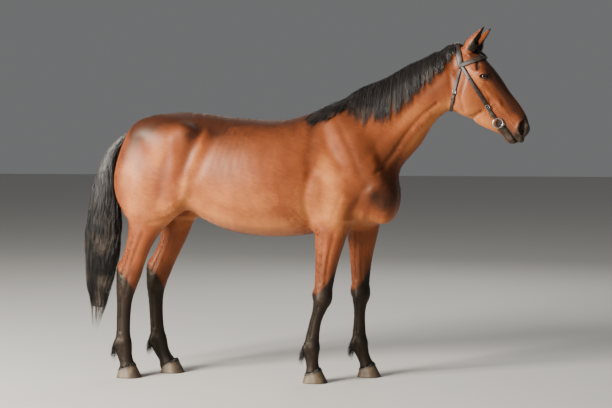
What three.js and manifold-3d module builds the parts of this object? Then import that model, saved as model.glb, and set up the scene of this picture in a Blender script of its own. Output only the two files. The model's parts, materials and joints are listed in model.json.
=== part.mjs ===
// A standing riding horse in a plain bridle, life size, as a still display model.
// Millimetres, +Z up. The horse faces +X and its left side is +Y.
// The animal is described as a soft union of named forms (body sections, muscles, limbs). Each
// region is lofted by casting rays from its own axis onto that union, the lofts are joined into one
// body, and thin cuts then part it into trunk, neck, head and leg pieces.
import * as THREE from 'three';
import Module from 'manifold-3d';

const wasm = await Module();
wasm.setup();

const gap = 0.4; // clearance left between neighbouring pieces
const V = (x, y, z) => new THREE.Vector3(x, y, z);
const left = 1, right = -1;

// ---------------------------------------------------------------- body plan

// Sections along the body: x, z of the centre, half width, height above and depth below the centre,
// and how square the section is above.
const trunkSections = [
  [-700, 1290, 125, 180, 170, 2.0], [-640, 1275, 205, 248, 235, 2.1], [-540, 1270, 242, 283, 255, 2.1],
  [-430, 1260, 252, 305, 257, 2.1], [-330, 1230, 255, 330, 262, 2.1], [-220, 1190, 268, 353, 283, 2.1],
  [-100, 1160, 285, 367, 303, 2.1], [20, 1145, 295, 372, 310, 2.1], [140, 1140, 290, 376, 308, 2.0],
  [260, 1130, 268, 415, 293, 1.85], [380, 1120, 238, 472, 265, 1.7], [500, 1110, 212, 470, 240, 1.7],
  [610, 1100, 190, 380, 215, 1.9], [690, 1095, 162, 290, 192, 2.0], [735, 1095, 132, 225, 158, 2.0],
];
const neckSections = [
  [520, 1300, 160, 240, 270, 1.8], [600, 1360, 150, 270, 285, 1.7], [659, 1403, 138, 268, 262, 1.7],
  [718, 1446, 122, 268, 236, 1.7], [777, 1488, 108, 260, 218, 1.7], [836, 1531, 97, 240, 200, 1.7],
  [894, 1574, 88, 222, 170, 1.75], [953, 1617, 82, 214, 143, 1.75], [1012, 1659, 78, 206, 134, 1.8],
  [1071, 1702, 76, 188, 144, 1.9], [1130, 1745, 72, 178, 147, 2.0],
];
const headSections = [
  [1192, 1835, 66, 90, 170, 2.3], [1242, 1804, 84, 91, 213, 2.5], [1285, 1766, 95, 87, 246, 2.7],
  [1324, 1724, 92, 82, 250, 2.7], [1359, 1679, 76, 79, 226, 2.6], [1393, 1634, 64, 74, 203, 2.5],
  [1425, 1585, 56, 78, 184, 2.4], [1457, 1537, 51, 80, 150, 2.3], [1488, 1489, 52, 76, 112, 2.2],
  [1514, 1447, 49, 62, 86, 2.1],
];

// Limb profiles: height on the leg, half depth fore and aft, half width.
const foreProfile = [
  [1020, 122, 85], [940, 112, 82], [860, 95, 74], [800, 84, 66], [740, 73, 59], [680, 65, 53],
  [620, 59, 48], [560, 55, 45], [520, 54, 48], [480, 51, 50], [440, 44, 46], [400, 37, 38],
  [360, 35, 31], [310, 37, 28], [250, 42, 28], [200, 49, 35], [165, 46, 36], [125, 39, 32], [90, 39, 35],
  [62, 47, 41], [36, 50, 42],
];
const hindProfile = [
  [1160, 200, 105], [1080, 192, 100], [1000, 160, 92], [940, 124, 84], [880, 98, 74], [820, 81, 64],
  [760, 72, 56], [700, 71, 49], [650, 73, 47], [610, 73, 48], [560, 66, 50], [500, 55, 47],
  [440, 46, 37], [360, 43, 30], [280, 43, 29], [220, 48, 34], [175, 53, 37], [130, 46, 33], [90, 43, 35],
  [62, 52, 42], [36, 54, 43],
];

// Where the bones of each leg run, from shoulder or hip down to the coronet: x, y, z.
const legs = {
  front_right: { profile: foreProfile, side: right, knee: 482, fetlock: 232, top: 876,
    bones: [[458, -125, 1060], [456, -130, 900], [426, -128, 680], [397, -124, 470], [357, -123, 330],
      [339, -122, 190], [348, -121, 70], [352, -121, 30]] },
  front_left: { profile: foreProfile, side: left, knee: 482, fetlock: 232, top: 876,
    bones: [[592, 125, 1060], [600, 130, 900], [590, 133, 680], [586, 135, 470], [581, 137, 330],
      [584, 138, 190], [624, 138, 70], [634, 138, 30]] },
  hind_right: { profile: hindProfile, side: right, knee: 560, fetlock: 225, top: 900,
    bones: [[-607, -130, 1180], [-622, -135, 980], [-676, -130, 810], [-752, -118, 600], [-779, -120, 440],
      [-785, -125, 190], [-761, -127, 70], [-757, -127, 30]] },
  hind_left: { profile: hindProfile, side: left, knee: 560, fetlock: 225, top: 900,
    bones: [[-545, 128, 1180], [-530, 132, 980], [-546, 122, 810], [-634, 104, 600], [-650, 98, 440],
      [-632, 92, 190], [-581, 90, 70], [-566, 90, 30]] },
};

// Hooves: toe and heel on the ground, and the middle across.
const hooves = {
  front_right: { toe: 434, heel: 286, y: -121 }, front_left: { toe: 711, heel: 567, y: 138 },
  hind_right: { toe: -674, heel: -826, y: -127 }, hind_left: { toe: -472, heel: -618, y: 90 },
};
const hoof = { coronetHeight: 78, heelHeight: 44, groundHalfWidth: 62, coronetHalfWidth: 45 };

const eye = { x: 1316, z: 1756, radius: 21, proud: 6 };
const ears = {
  halfWidth: 33, wall: 6,
  right: { base: [1222, -46, 1905], tip: [1320, -72, 2040] },
  left: { base: [1240, 46, 1900], tip: [1352, 74, 2040] },
};
// The tail: x, z, half depth and half width.
const tailLine = [
  [-705, 1446, 30, 28], [-752, 1436, 32, 28], [-800, 1415, 34, 30], [-858, 1352, 38, 34],
  [-890, 1300, 43, 38], [-915, 1210, 58, 48],
  [-928, 1090, 80, 60], [-934, 960, 99, 70], [-946, 820, 107, 74], [-955, 680, 99, 70], [-971, 560, 82, 60],
  [-975, 450, 60, 44], [-987, 350, 34, 28], [-1001, 212, 6, 6],
];

// ---------------------------------------------------------------- soft forms

// Catmull-Rom interpolation of rows of numbers, `steps` samples a span.
function smoothRows(rows, steps) {
  const out = [];
  const at = (i, k) => (i < 0 ? 2 * rows[0][k] - rows[1][k]
    : i >= rows.length ? 2 * rows[rows.length - 1][k] - rows[rows.length - 2][k] : rows[i][k]);
  for (let i = 0; i < rows.length - 1; i++) {
    for (let j = 0; j < steps; j++) {
      const t = j / steps;
      out.push(rows[i].map((_, k) => {
        const [a, b, c, d] = [at(i - 1, k), at(i, k), at(i + 1, k), at(i + 2, k)];
        const bend = (2 * a - 5 * b + 4 * c - d) * t * t + (3 * b - a - 3 * c + d) * t ** 3;
        return 0.5 * (2 * b + (c - a) * t + bend);
      }));
    }
  }
  out.push(rows[rows.length - 1].slice());
  return out;
}

// A swept form: rows of x, y, z, half width, up, down, squareness above.
function sweep(rows, steps = 3, capStart = 40, capEnd = 40) {
  const s = smoothRows(rows, steps);
  const centre = s.map((r) => V(r[0], r[1], r[2]));
  const frames = centre.map((c, i) => {
    const t = centre[Math.min(i + 1, s.length - 1)].clone().sub(centre[Math.max(i - 1, 0)]).normalize();
    const across = V(0, 1, 0).addScaledVector(t, -t.y).normalize();
    return { t, across, up: t.clone().cross(across) };
  });
  const mix = (a, b, f) => a + (b - a) * f;
  return (p) => {
    let best = Infinity, k = 0, f = 0;
    for (let i = 0; i < s.length - 1; i++) {
      const a = centre[i], b = centre[i + 1];
      const dx = b.x - a.x, dy = b.y - a.y, dz = b.z - a.z;
      const gone = ((p.x - a.x) * dx + (p.y - a.y) * dy + (p.z - a.z) * dz) / (dx * dx + dy * dy + dz * dz);
      const t = Math.min(1, Math.max(0, gone));
      const d = (p.x - a.x - t * dx) ** 2 + (p.y - a.y - t * dy) ** 2 + (p.z - a.z - t * dz) ** 2;
      if (d < best) {
        best = d;
        k = i;
        f = t;
      }
    }
    const q = p.clone().sub(centre[k].clone().lerp(centre[k + 1], f));
    const A = frames[k], B = frames[k + 1];
    const along = q.dot(A.t.clone().lerp(B.t, f));
    const side = Math.abs(q.dot(A.across.clone().lerp(B.across, f)));
    const high = q.dot(A.up.clone().lerp(B.up, f));
    const n = high > 0 ? mix(s[k][6], s[k + 1][6], f) : 2.05;
    const reach = high > 0 ? mix(s[k][4], s[k + 1][4], f) : mix(s[k][5], s[k + 1][5], f);
    const around = ((side / mix(s[k][3], s[k + 1][3], f)) ** n + (Math.abs(high) / reach) ** n) ** (1 / n);
    const e = Math.hypot(around, along / (k === 0 ? capStart : capEnd));
    return e > 1e-3 ? Math.hypot(side, high, along) * (1 - 1 / e) : -reach;
  };
}

// An ellipsoid: centre, half lengths, and how far its long axis is pitched up towards +X.
function mass(x, y, z, rx, ry, rz, pitch = 0) {
  const c = Math.cos(THREE.MathUtils.degToRad(pitch)), s = Math.sin(THREE.MathUtils.degToRad(pitch));
  return (p) => {
    const dx = p.x - x, dy = p.y - y, dz = p.z - z;
    const u = dx * c + dz * s, w = dz * c - dx * s;
    const k0 = Math.hypot(u / rx, dy / ry, w / rz), k1 = Math.hypot(u / rx ** 2, dy / ry ** 2, w / rz ** 2);
    return k1 > 1e-9 ? (k0 * (k0 - 1)) / k1 : -Math.min(rx, ry, rz);
  };
}

// Smooth union of forms, each with its own blending width.
const blend = (parts) => (p) => {
  let f = 1e4;
  for (const [form, k] of parts) {
    const d = form(p), h = Math.max(k - Math.abs(f - d), 0) / k;
    f = Math.min(f, d) - (h * h * k) / 4;
  }
  return f;
};

const sections = (rows, steps, capStart, capEnd) => (
  sweep(rows.map(([x, z, ...size]) => [x, 0, z, ...size]), steps, capStart, capEnd));

// A leg as a sweep down its bones, with the profile read off by height.
function limb({ profile, bones }, above = 0) {
  const line = smoothRows(bones, 12);
  const rows = profile.filter(([z]) => z > above).map(([z, depth, width]) => {
    const i = Math.max(1, line.findIndex((r) => r[2] <= z + 1e-6));
    const f = (line[i - 1][2] - z) / (line[i - 1][2] - line[i][2]);
    const [x, y] = [0, 1].map((k) => line[i - 1][k] + (line[i][k] - line[i - 1][k]) * f);
    return [x, y, z, width, depth, depth, 2.2];
  });
  return sweep(rows, 2, 50, 20);
}

const bothSides = (make) => [right, left].flatMap(make);
const headForms = [
  [sections(headSections, 3, 50, 45), 30],
  ...bothSides((s) => [
    [mass(1228, s * 50, 1650, 105, 34, 118, -12), 30], // cheek
    [mass(1304, s * 82, 1764, 48, 27, 30, -42), 22], // brow and orbit
    [mass(1358, s * 60, 1655, 80, 13, 14, -54), 26], // facial crest
    [mass(1532, s * 38, 1474, 30, 19, 42, -55), 20], // nostril
  ]),
  [mass(1152, 0, 1862, 105, 52, 80, 16), 30], // poll
  [mass(1466, 0, 1402, 38, 34, 28, -20), 20], // chin
];
const neckForms = [[sections(neckSections, 3, 60, 60), 60]];
const trunkForms = [
  ...Object.values(legs).map((leg) => [limb(leg, 930), 45]),
  [sections(trunkSections, 3, 45, 88), 20],
  ...bothSides((s) => [
    [sweep([[430, s * 62, 1540, 34, 50, 50, 2], [520, s * 108, 1390, 52, 92, 92, 2],
      [625, s * 138, 1240, 58, 100, 100, 2], [705, s * 148, 1120, 60, 78, 78, 2]], 3), 60], // shoulder blade
    [mass(468, s * 168, 1120, 165, 66, 122, 24), 60], // triceps
    [mass(748, s * 72, 1060, 78, 82, 145), 60], // breast
    [mass(-505, s * 130, 1375, 240, 122, 150, -18), 70], // rump
    // front of the thigh
    [s < 0 ? mass(-450, -150, 1165, 112, 92, 190, -4) : mass(-430, 150, 1150, 112, 92, 190, 12), 70],
    [mass(s < 0 ? -704 : -680, s * 116, 1180, 116, 92, 250), 70], // back of the thigh
    [mass(s < 0 ? -470 : -395, s * 165, s < 0 ? 1045 : 1035, 58, 62, 70), 50], // stifle
    [mass(-372, s * 212, 1428, 50, 40, 40), 50], // point of the hip
  ]),
];
const legForms = Object.fromEntries(Object.entries(legs).map(([name, leg]) => [name, [limb(leg), 45]]));
const wholeBody = blend([...trunkForms, ...neckForms, ...headForms, ...Object.values(legForms)]);
const foreBody = blend([...trunkForms, ...neckForms, ...headForms]);

// ---------------------------------------------------------------- meshes

// How far from a point a ray leaves a form.
function reach(form, from, direction, most) {
  let a = 0;
  const p = V(0, 0, 0), at = (t) => form(p.copy(from).addScaledVector(direction, t));
  let b = 4;
  while (b < most && at(b) < 0) {
    a = b;
    b += Math.max(4, b * 0.12);
  }
  for (let i = 0; i < 14; i++) {
    const m = (a + b) / 2;
    if (at(m) < 0) a = m; else b = m;
  }
  return Math.min((a + b) / 2, most);
}

// A closed mesh from rings of equal count, with a point at each end.
function loftRings(rings, start, end) {
  const n = rings[0].length;
  const points = [...rings.flat(), start, end];
  const faces = [];
  const first = points.length - 2, last = points.length - 1, tail = (rings.length - 1) * n;
  for (let j = 0; j < n; j++) {
    const k = (j + 1) % n;
    faces.push(first, k, j, last, tail + j, tail + k);
    for (let i = 0; i < rings.length - 1; i++) {
      const a = i * n + j, b = i * n + k;
      faces.push(a, b, b + n, a, b + n, a + n);
    }
  }
  return solid(points, faces);
}

function solid(points, faces) {
  const vertProperties = new Float32Array(points.flatMap((p) => [p.x, p.y, p.z]));
  const make = (list) => new wasm.Manifold(new wasm.Mesh({
    numProp: 3, vertProperties, triVerts: new Uint32Array(list) }));
  const made = make(faces);
  if (made.volume() > 0) return made;
  const turned = [];
  for (let i = 0; i < faces.length; i += 3) turned.push(faces[i], faces[i + 2], faces[i + 1]);
  return make(turned);
}

const meanOf = (points) => points.reduce((sum, p) => sum.add(p), V(0, 0, 0)).divideScalar(points.length);

// Stations along an axis: where each ring is cast from, and which way is up in its plane.
const alongAxis = (points) => points.map((c, i) => {
  const ahead = V(...points[Math.min(i + 1, points.length - 1)]);
  const t = ahead.sub(V(...points[Math.max(i - 1, 0)])).normalize();
  return { at: V(...c), up: t.clone().cross(V(0, 1, 0).addScaledVector(t, -t.y).normalize()) };
});
const acrossSlices = (rows) => rows.map(([x0, z0, x1, z1]) => (
  { at: V((x0 + x1) / 2, 0, (z0 + z1) / 2), up: V(x1 - x0, 0, z1 - z0).normalize() }));

// Rings cast from stations onto a form; a cap is a fan of further rings that closes an end.
function castLoft(form, stations, sides, most, { startCap = [], endCap = [], grow = 0 } = {}) {
  const ringAt = ({ at, up }, lean) => {
    const across = V(0, 1, 0).addScaledVector(up, -up.y).normalize(), forward = across.clone().cross(up);
    return Array.from({ length: sides }, (_, j) => {
      const a = (j / sides) * Math.PI * 2;
      const way = up.clone().multiplyScalar(Math.cos(a)).addScaledVector(across, Math.sin(a))
        .multiplyScalar(Math.cos(lean)).addScaledVector(forward, Math.sin(lean));
      return at.clone().addScaledVector(way, reach(form, at, way, most) + grow);
    });
  };
  const first = stations[0], last = stations[stations.length - 1];
  const rings = [...startCap.map((d) => ringAt(first, -THREE.MathUtils.degToRad(d))).reverse(),
    ...stations.map((s) => ringAt(s, 0)), ...endCap.map((d) => ringAt(last, THREE.MathUtils.degToRad(d)))];
  const pole = ({ at, up }, sign) => {
    const way = V(0, 1, 0).cross(up).multiplyScalar(sign);
    return at.clone().addScaledVector(way, reach(form, at, way, most) + grow);
  };
  return loftRings(rings, startCap.length ? pole(first, -1) : meanOf(rings[0]),
    endCap.length ? pole(last, 1) : meanOf(rings[rings.length - 1]));
}

const between = (a, b, n) => Array.from({ length: n + 1 }, (_, i) => a + ((b - a) * i) / n);

const trunkAxis = between(-640, 640, 16).map((x) => [x, 0, 1205 - 60 * Math.max(0, x / 640) ** 2]);
const trunkStations = alongAxis(trunkAxis);
const trunkEnds = { startCap: [18, 36, 54, 70, 82], endCap: [20, 40, 60, 78] };
const trunkLoft = castLoft(blend(trunkForms), trunkStations, 24, 520, trunkEnds);

// The neck and head in one chain: slices from throat side to crest side, fanning round the jaw.
const neckSlices = [...neckSections.slice(1, 9).map(([x, z, , up, down]) => (
  [x + 0.588 * down, z - 0.809 * down, x - 0.588 * up, z + 0.809 * up])),
[1118, 1556, 972, 1868], [1130, 1557, 1040, 1900], [1140, 1552, 1103, 1930], [1153, 1545, 1163, 1945],
[1172, 1537, 1222, 1935]];
const headSlices = [[1198, 1528, 1268, 1897], [1226, 1517, 1305, 1870], [1250, 1502, 1338, 1840],
  [1275, 1484, 1365, 1804], [1302, 1470, 1392, 1768], [1330, 1458, 1420, 1728], [1356, 1447, 1447, 1686],
  [1382, 1436, 1472, 1652], [1405, 1420, 1497, 1618], [1424, 1405, 1520, 1586], [1440, 1392, 1538, 1556],
  [1456, 1384, 1552, 1526]];
const chain = acrossSlices([...neckSlices, ...headSlices]);
const muzzleCap = { endCap: [16, 33, 50, 68, 82] };
const frontLoft = castLoft(foreBody, chain, 24, 330, muzzleCap);

function legLoft(name) {
  const { profile, bones } = legs[name];
  const line = smoothRows(bones, 12);
  const stations = profile.filter(([z]) => z < 1100).map(([z]) => {
    const i = Math.max(1, line.findIndex((r) => r[2] <= z + 1e-6));
    const f = (line[i - 1][2] - z) / (line[i - 1][2] - line[i][2]);
    return [0, 1, 2].map((k) => line[i - 1][k] + (line[i][k] - line[i - 1][k]) * f);
  });
  return castLoft(blend([legForms[name]]), alongAxis(stations), 12, 260);
}

// A thin slab across a place, facing along a direction.
function slab(at, facing, half, thick = gap) {
  const g = new THREE.BoxGeometry(half[0] * 2, half[1] * 2, thick);
  g.applyQuaternion(new THREE.Quaternion().setFromUnitVectors(V(0, 0, 1), V(...facing).normalize()));
  g.translate(...at);
  return fromGeometry(g);
}

function fromGeometry(geometry) {
  const pos = geometry.getAttribute('position');
  const found = new Map(), points = [], ids = [];
  for (let i = 0; i < pos.count; i++) {
    const p = V().fromBufferAttribute(pos, i);
    const key = [p.x, p.y, p.z].map((v) => Math.round(v * 1e3)).join();
    if (!found.has(key)) { found.set(key, points.length); points.push(p); }
    ids.push(found.get(key));
  }
  const order = geometry.index ? [...geometry.index.array].map((i) => ids[i]) : ids;
  const faces = [];
  for (let i = 0; i < order.length; i += 3) {
    const [a, b, c] = order.slice(i, i + 3);
    if (a !== b && b !== c && a !== c) faces.push(a, b, c);
  }
  return solid(points, faces);
}

const root = new THREE.Group();
root.name = 'horse';

// Surface looks, shared by name with the record.
const look = (color, roughness, metalness = 0) => (
  new THREE.MeshStandardMaterial({ color, roughness, metalness }));
const looks = {
  coat: look(0x8a4a24, 0.55), points: look(0x1d1816, 0.55), hair: look(0x17151a, 0.5),
  hoof: look(0x9a8b78, 0.6),
  eye: look(0x140d0a, 0.12), leather: look(0x2c211c, 0.5), metal: look(0xb9bbbe, 0.25, 1),
};

const largest = (shape) => shape.decompose().sort((a, b) => b.volume() - a.volume())[0];

function add(name, shape, material, tolerance = 0.2) {
  const m = largest(shape.simplify(tolerance)).getMesh();
  const geometry = new THREE.BufferGeometry();
  const position = new Float32Array(m.numVert * 3);
  for (let i = 0; i < m.numVert; i++) {
    position.set(m.vertProperties.subarray(i * m.numProp, i * m.numProp + 3), i * 3);
  }
  geometry.setAttribute('position', new THREE.BufferAttribute(position, 3));
  geometry.setIndex(new THREE.BufferAttribute(m.triVerts, 1));
  geometry.computeVertexNormals();
  const mesh = new THREE.Mesh(geometry, material);
  mesh.name = name;
  root.add(mesh);
  return mesh;
}

// ---------------------------------------------------------------- the body, parted

const whole = wasm.Manifold.union([trunkLoft, frontLoft, ...Object.keys(legs).map(legLoft)]);

// Where each leg's bone is at a height.
function boneAt({ bones }, z) {
  const line = smoothRows(bones, 12);
  const i = Math.max(1, line.findIndex((r) => r[2] <= z));
  const f = (line[i - 1][2] - z) / (line[i - 1][2] - line[i][2]);
  return V(...[0, 1, 2].map((k) => line[i - 1][k] + (line[i][k] - line[i - 1][k]) * f));
}

// The hoof's upper rim is a plane falling from toe to heel.
function rimOf(name) {
  const { toe, heel, y } = hooves[name];
  const front = V(toe - 40, y, hoof.coronetHeight), back = V(heel + 14, y, hoof.heelHeight);
  return { front, back, facing: V(back.z - front.z, 0, front.x - back.x).normalize() };
}

const cuts = [
  slab([1136, 0, 1745], [0.995, 0, -0.09], [240, 140]), // head from neck
  slab([634, 0, 1410], [0.795, 0, 0.606], [340, 270]), // neck from trunk
];
const belowHooves = [];
for (const [name, leg] of Object.entries(legs)) {
  const [lean, half] = name.startsWith('front') ? [0.35, [165, 120]] : [0.22, [190, 122]];
  cuts.push(slab(boneAt(leg, leg.top).toArray(), [0, -leg.side * lean, 1], half));
  for (const z of [leg.knee, leg.fetlock]) {
    const at = boneAt(leg, z), way = boneAt(leg, z + 20).sub(boneAt(leg, z - 20)).normalize();
    cuts.push(slab(at.toArray(), way.toArray(), [95, 70]));
  }
  const rim = rimOf(name);
  const middle = rim.front.clone().add(rim.back).divideScalar(2).addScaledVector(rim.facing, -60 + gap / 2);
  belowHooves.push(slab(middle.toArray(), rim.facing.toArray(), [95, 75], 120));
}
const parted = wasm.Manifold.difference([whole, ...cuts, ...belowHooves]);
const pieces = parted.decompose().filter((p) => p.volume() > 2e4);

const centreOf = (shape) => {
  const { min, max } = shape.boundingBox();
  return V(...min).add(V(...max)).divideScalar(2);
};
const take = (at) => {
  const p = V(...at);
  return pieces.reduce((a, b) => (centreOf(b).distanceTo(p) < centreOf(a).distanceTo(p) ? b : a));
};

// ---------------------------------------------------------------- head fittings

const reachSide = (x, z, side) => reach(wholeBody, V(x, 0, z), V(0, side, 0), 300);

// A shell lying over the body: `ray(u, v)` gives where to look from and which way, `thick(u, v)` how thick.
function shell(ray, nu, nv, thick, lift = 1) {
  const outer = [], inner = [];
  for (let i = 0; i <= nu; i++) {
    for (let j = 0; j <= nv; j++) {
      const [from, way] = ray(i / nu, j / nv);
      const r = reach(wholeBody, from, way, 400);
      inner.push(from.clone().addScaledVector(way, r + lift));
      outer.push(from.clone().addScaledVector(way, r + lift + thick(i / nu, j / nv)));
    }
  }
  const n = outer.length, w = nv + 1, faces = [];
  const quad = (a, b, c, d) => faces.push(a, b, c, a, c, d);
  for (let i = 0; i < nu; i++) {
    for (let j = 0; j < nv; j++) {
      const a = i * w + j;
      quad(a, a + w, a + w + 1, a + 1);
      quad(n + a, n + a + 1, n + a + w + 1, n + a + w);
    }
  }
  for (let i = 0; i < nu; i++) {
    for (const [j, flip] of [[0, true], [nv, false]]) {
      const a = i * w + j, b = a + w;
      if (flip) quad(a, n + a, n + b, b); else quad(a, b, n + b, n + a);
    }
  }
  for (let j = 0; j < nv; j++) {
    for (const [i, flip] of [[0, false], [nu, true]]) {
      const a = i * w + j, b = a + 1;
      if (flip) quad(a, n + a, n + b, b); else quad(a, b, n + b, n + a);
    }
  }
  return solid([...outer, ...inner], faces);
}

// A ring of round section.
function torus(at, facing, radius, wire) {
  const g = new THREE.TorusGeometry(radius, wire, 5, 14);
  g.applyQuaternion(new THREE.Quaternion().setFromUnitVectors(V(0, 0, 1), facing.clone().normalize()));
  g.translate(at.x, at.y, at.z);
  return fromGeometry(g);
}

function ball(at, radius) {
  const g = new THREE.SphereGeometry(radius, 10, 7);
  g.translate(at.x, at.y, at.z);
  return fromGeometry(g);
}

// An ear: a curled leaf, opening forwards and a little out.
function earShape(side) {
  const { base, tip } = side === left ? ears.left : ears.right;
  const from = V(...base), axis = V(...tip).sub(from), length = axis.length();
  axis.normalize();
  const open = V(0.8, side * 0.55, 0).addScaledVector(axis, -V(0.8, side * 0.55, 0).dot(axis)).normalize();
  const across = axis.clone().cross(open).multiplyScalar(side);
  const outline = [[0, 0.84], [0.12, 0.93], [0.28, 1], [0.42, 0.98], [0.56, 0.87], [0.7, 0.68], [0.83, 0.44],
    [0.93, 0.22], [1, 0.05]];
  const rings = outline.map(([t, w]) => {
    const r = ears.halfWidth * w, wall = Math.min(r / 2, ears.wall);
    const spread = THREE.MathUtils.degToRad(140 - 55 * t);
    const c = from.clone().addScaledVector(axis, t * length).addScaledVector(open, 6 * Math.sin(t * Math.PI));
    const point = (radius, a) => c.clone().addScaledVector(open, -radius * Math.cos(a))
      .addScaledVector(across, radius * Math.sin(a));
    return [...between(-spread, spread, 5).map((a) => point(r, a)),
      ...between(spread, -spread, 5).map((a) => point(r - wall, a))];
  });
  return loftRings(rings, meanOf(rings[0]), meanOf(rings[rings.length - 1]));
}

const grownChain = [{ ...chain[0], at: chain[0].at.clone().add(V(-8, 0, -6)) }, ...chain];
const frontGrown = castLoft(foreBody, grownChain, 24, 330, { ...muzzleCap, grow: gap + 2 });
const trunkGrown = castLoft(blend(trunkForms), trunkStations, 24, 520, { ...trunkEnds, grow: gap + 3 });
const headCutters = [];
const eyeBalls = {}, earShells = {}, fittings = {};
for (const [label, side] of [['right', right], ['left', left]]) {
  const r = reachSide(eye.x, eye.z, side);
  const at = V(eye.x, side * (r - eye.radius + eye.proud), eye.z);
  eyeBalls[label] = ball(at, eye.radius);
  headCutters.push(ball(at, eye.radius + gap + 0.4));
  earShells[label] = largest(earShape(side).subtract(frontGrown));
}

// ---------------------------------------------------------------- bridle

// Straps go round the head from a point inside it towards a point on it, and are given half widths.
const bridle = {
  strap: 7, bury: -1,
  crown: { from: [1166, 1800], to: [1153, 1922], half: 12, turn: 84, steps: 12 },
  brow: { from: [1192, 1822], to: [1318, 1876], half: 10, turn: 88, steps: 12 },
  throat: { from: [1156, 1700], to: [1124, 1566], half: 8, turn: 132, steps: 14 },
  cheek: { from: [1188, 1790], to: [1371, 1523], half: 9, steps: 8 },
  ring: [1392, 1491], ringProud: 15, ringRadius: 32, ringWire: 4, mouthRadius: 7,
};

// A strap over or under the head, turning out from the middle to both sides.
function overStrap({ from, to, half, turn, steps }) {
  const start = V(from[0], 0, from[1]);
  const way = V(to[0], 0, to[1]).sub(start).normalize(), along = V(-way.z, 0, way.x);
  return shell((u, v) => {
    const a = (2 * u - 1) * THREE.MathUtils.degToRad(turn);
    return [start.clone().addScaledVector(along, (2 * v - 1) * half),
      way.clone().multiplyScalar(Math.cos(a)).add(V(0, Math.sin(a), 0)).normalize()];
  }, steps, 1, () => bridle.strap, bridle.bury);
}

function cheekStrap(side, { from, to, half, steps }) {
  const way = V(to[0] - from[0], 0, to[1] - from[1]), across = V(-way.z, 0, way.x).normalize();
  const start = (u, v) => (
    V(from[0], 0, from[1]).addScaledVector(way, u).addScaledVector(across, (2 * v - 1) * half));
  return shell((u, v) => [start(u, v), V(0, side, 0)], steps, 1, () => bridle.strap, bridle.bury);
}

fittings.crown_strap = overStrap(bridle.crown);
fittings.browband = overStrap(bridle.brow);
fittings.throatlatch = overStrap(bridle.throat);
const mouthEnds = [];
const [ringX, ringZ] = bridle.ring;
for (const [label, side] of [['right', right], ['left', left]]) {
  fittings['cheekpiece_' + label] = cheekStrap(side, bridle.cheek);
  const slope = (reachSide(ringX + 25, ringZ - 25, side) - reachSide(ringX - 25, ringZ + 25, side)) / 70;
  const facing = V(-slope * 0.7, side, slope * 0.7).normalize();
  const centre = V(ringX, side * (reachSide(ringX, ringZ, side) + bridle.ringProud), ringZ);
  fittings['bit_ring_' + label] = torus(centre, facing, bridle.ringRadius, bridle.ringWire);
  const edge = centre.y - (facing.x * bridle.ringRadius) / facing.y;
  mouthEnds.push(edge - side * (bridle.ringWire + 0.8));
}
const rod = (radius) => {
  const g = new THREE.CylinderGeometry(radius, radius, Math.abs(mouthEnds[0] - mouthEnds[1]), 12);
  g.translate(ringX + bridle.ringRadius, (mouthEnds[0] + mouthEnds[1]) / 2, ringZ - 6);
  return fromGeometry(g);
};
fittings.bit_mouthpiece = rod(bridle.mouthRadius);
headCutters.push(rod(bridle.mouthRadius + gap + 0.2));

// ---------------------------------------------------------------- mane, forelock and tail

// How far the mane falls at each place along the crest.
const maneFall = [[335, 35], [376, 92], [416, 132], [450, 112], [495, 98], [535, 78], [568, 52], [598, 70],
  [628, 178], [700, 232], [785, 275], [846, 278], [902, 262], [959, 232], [1015, 205], [1071, 185],
  [1130, 150]];
const crestLine = smoothRows([[335, 1560], [400, 1592], [470, 1616], [530, 1630], [600, 1682], [700, 1730],
  [800, 1784], [900, 1828], [1000, 1876], [1070, 1902], [1122, 1930]], 6);
const readAt = (rows, x) => {
  const i = Math.max(1, Math.min(rows.length - 1, rows.findIndex((r) => r[0] >= x)));
  const [a, b] = [rows[i - 1], rows[i]];
  return a[1] + ((b[1] - a[1]) * (x - a[0])) / (b[0] - a[0]);
};
const mane = shell((u, v) => {
  const x = 336 + u * 790, top = readAt(crestLine, x), fall = readAt(maneFall, x), turn = 0.28;
  const deep = Math.min(62, fall * 0.6);
  if (v < turn) {
    const a = (v / turn) * Math.PI / 2 - 0.22 * (1 - v / turn);
    return [V(x, 0, top - deep), V(0, -Math.sin(a), Math.cos(a))];
  }
  return [V(x - 14 * (v - turn), 0, top - deep - ((v - turn) / (1 - turn)) * (fall - deep)), V(0, -1, 0)];
}, 22, 4, (u, v) => (20 - 8 * v) * Math.min(1, 0.4 + 6 * Math.min(u, 1 - u)) + 8, -8);

const forelock = shell((u, v) => {
  const from = V(1185, 0, 1800), a = 1.42 - u * 0.66, w = (26 - 16 * u) / 115;
  return [from, V(Math.cos(a), (2 * v - 1) * w, Math.sin(a)).normalize()];
}, 6, 4, (u, v) => 4 + 12 * (1 - 0.65 * u) * (1 - 0.5 * (2 * v - 1) ** 2), -3);

const tailRows = smoothRows(tailLine, 2);
const tailRings = tailRows.map(([x, z, depth, width], i) => {
  const a = tailRows[Math.max(0, i - 1)], b = tailRows[Math.min(tailRows.length - 1, i + 1)];
  const t = V(b[0] - a[0], 0, b[1] - a[1]).normalize(), out = V(t.z, 0, -t.x);
  const lean = Math.abs(t.z);
  return Array.from({ length: 12 }, (_, j) => {
    const q = (j / 12) * Math.PI * 2, lock = 1 + 0.06 * Math.cos(q * 4 + i * 0.5);
    return V(x, Math.sin(q) * width * lock, z).addScaledVector(out, Math.cos(q) * depth * lean * lock);
  });
});
const tailBody = loftRings(tailRings, meanOf(tailRings[0]), meanOf(tailRings[tailRings.length - 1]));

// ---------------------------------------------------------------- hooves

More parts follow.
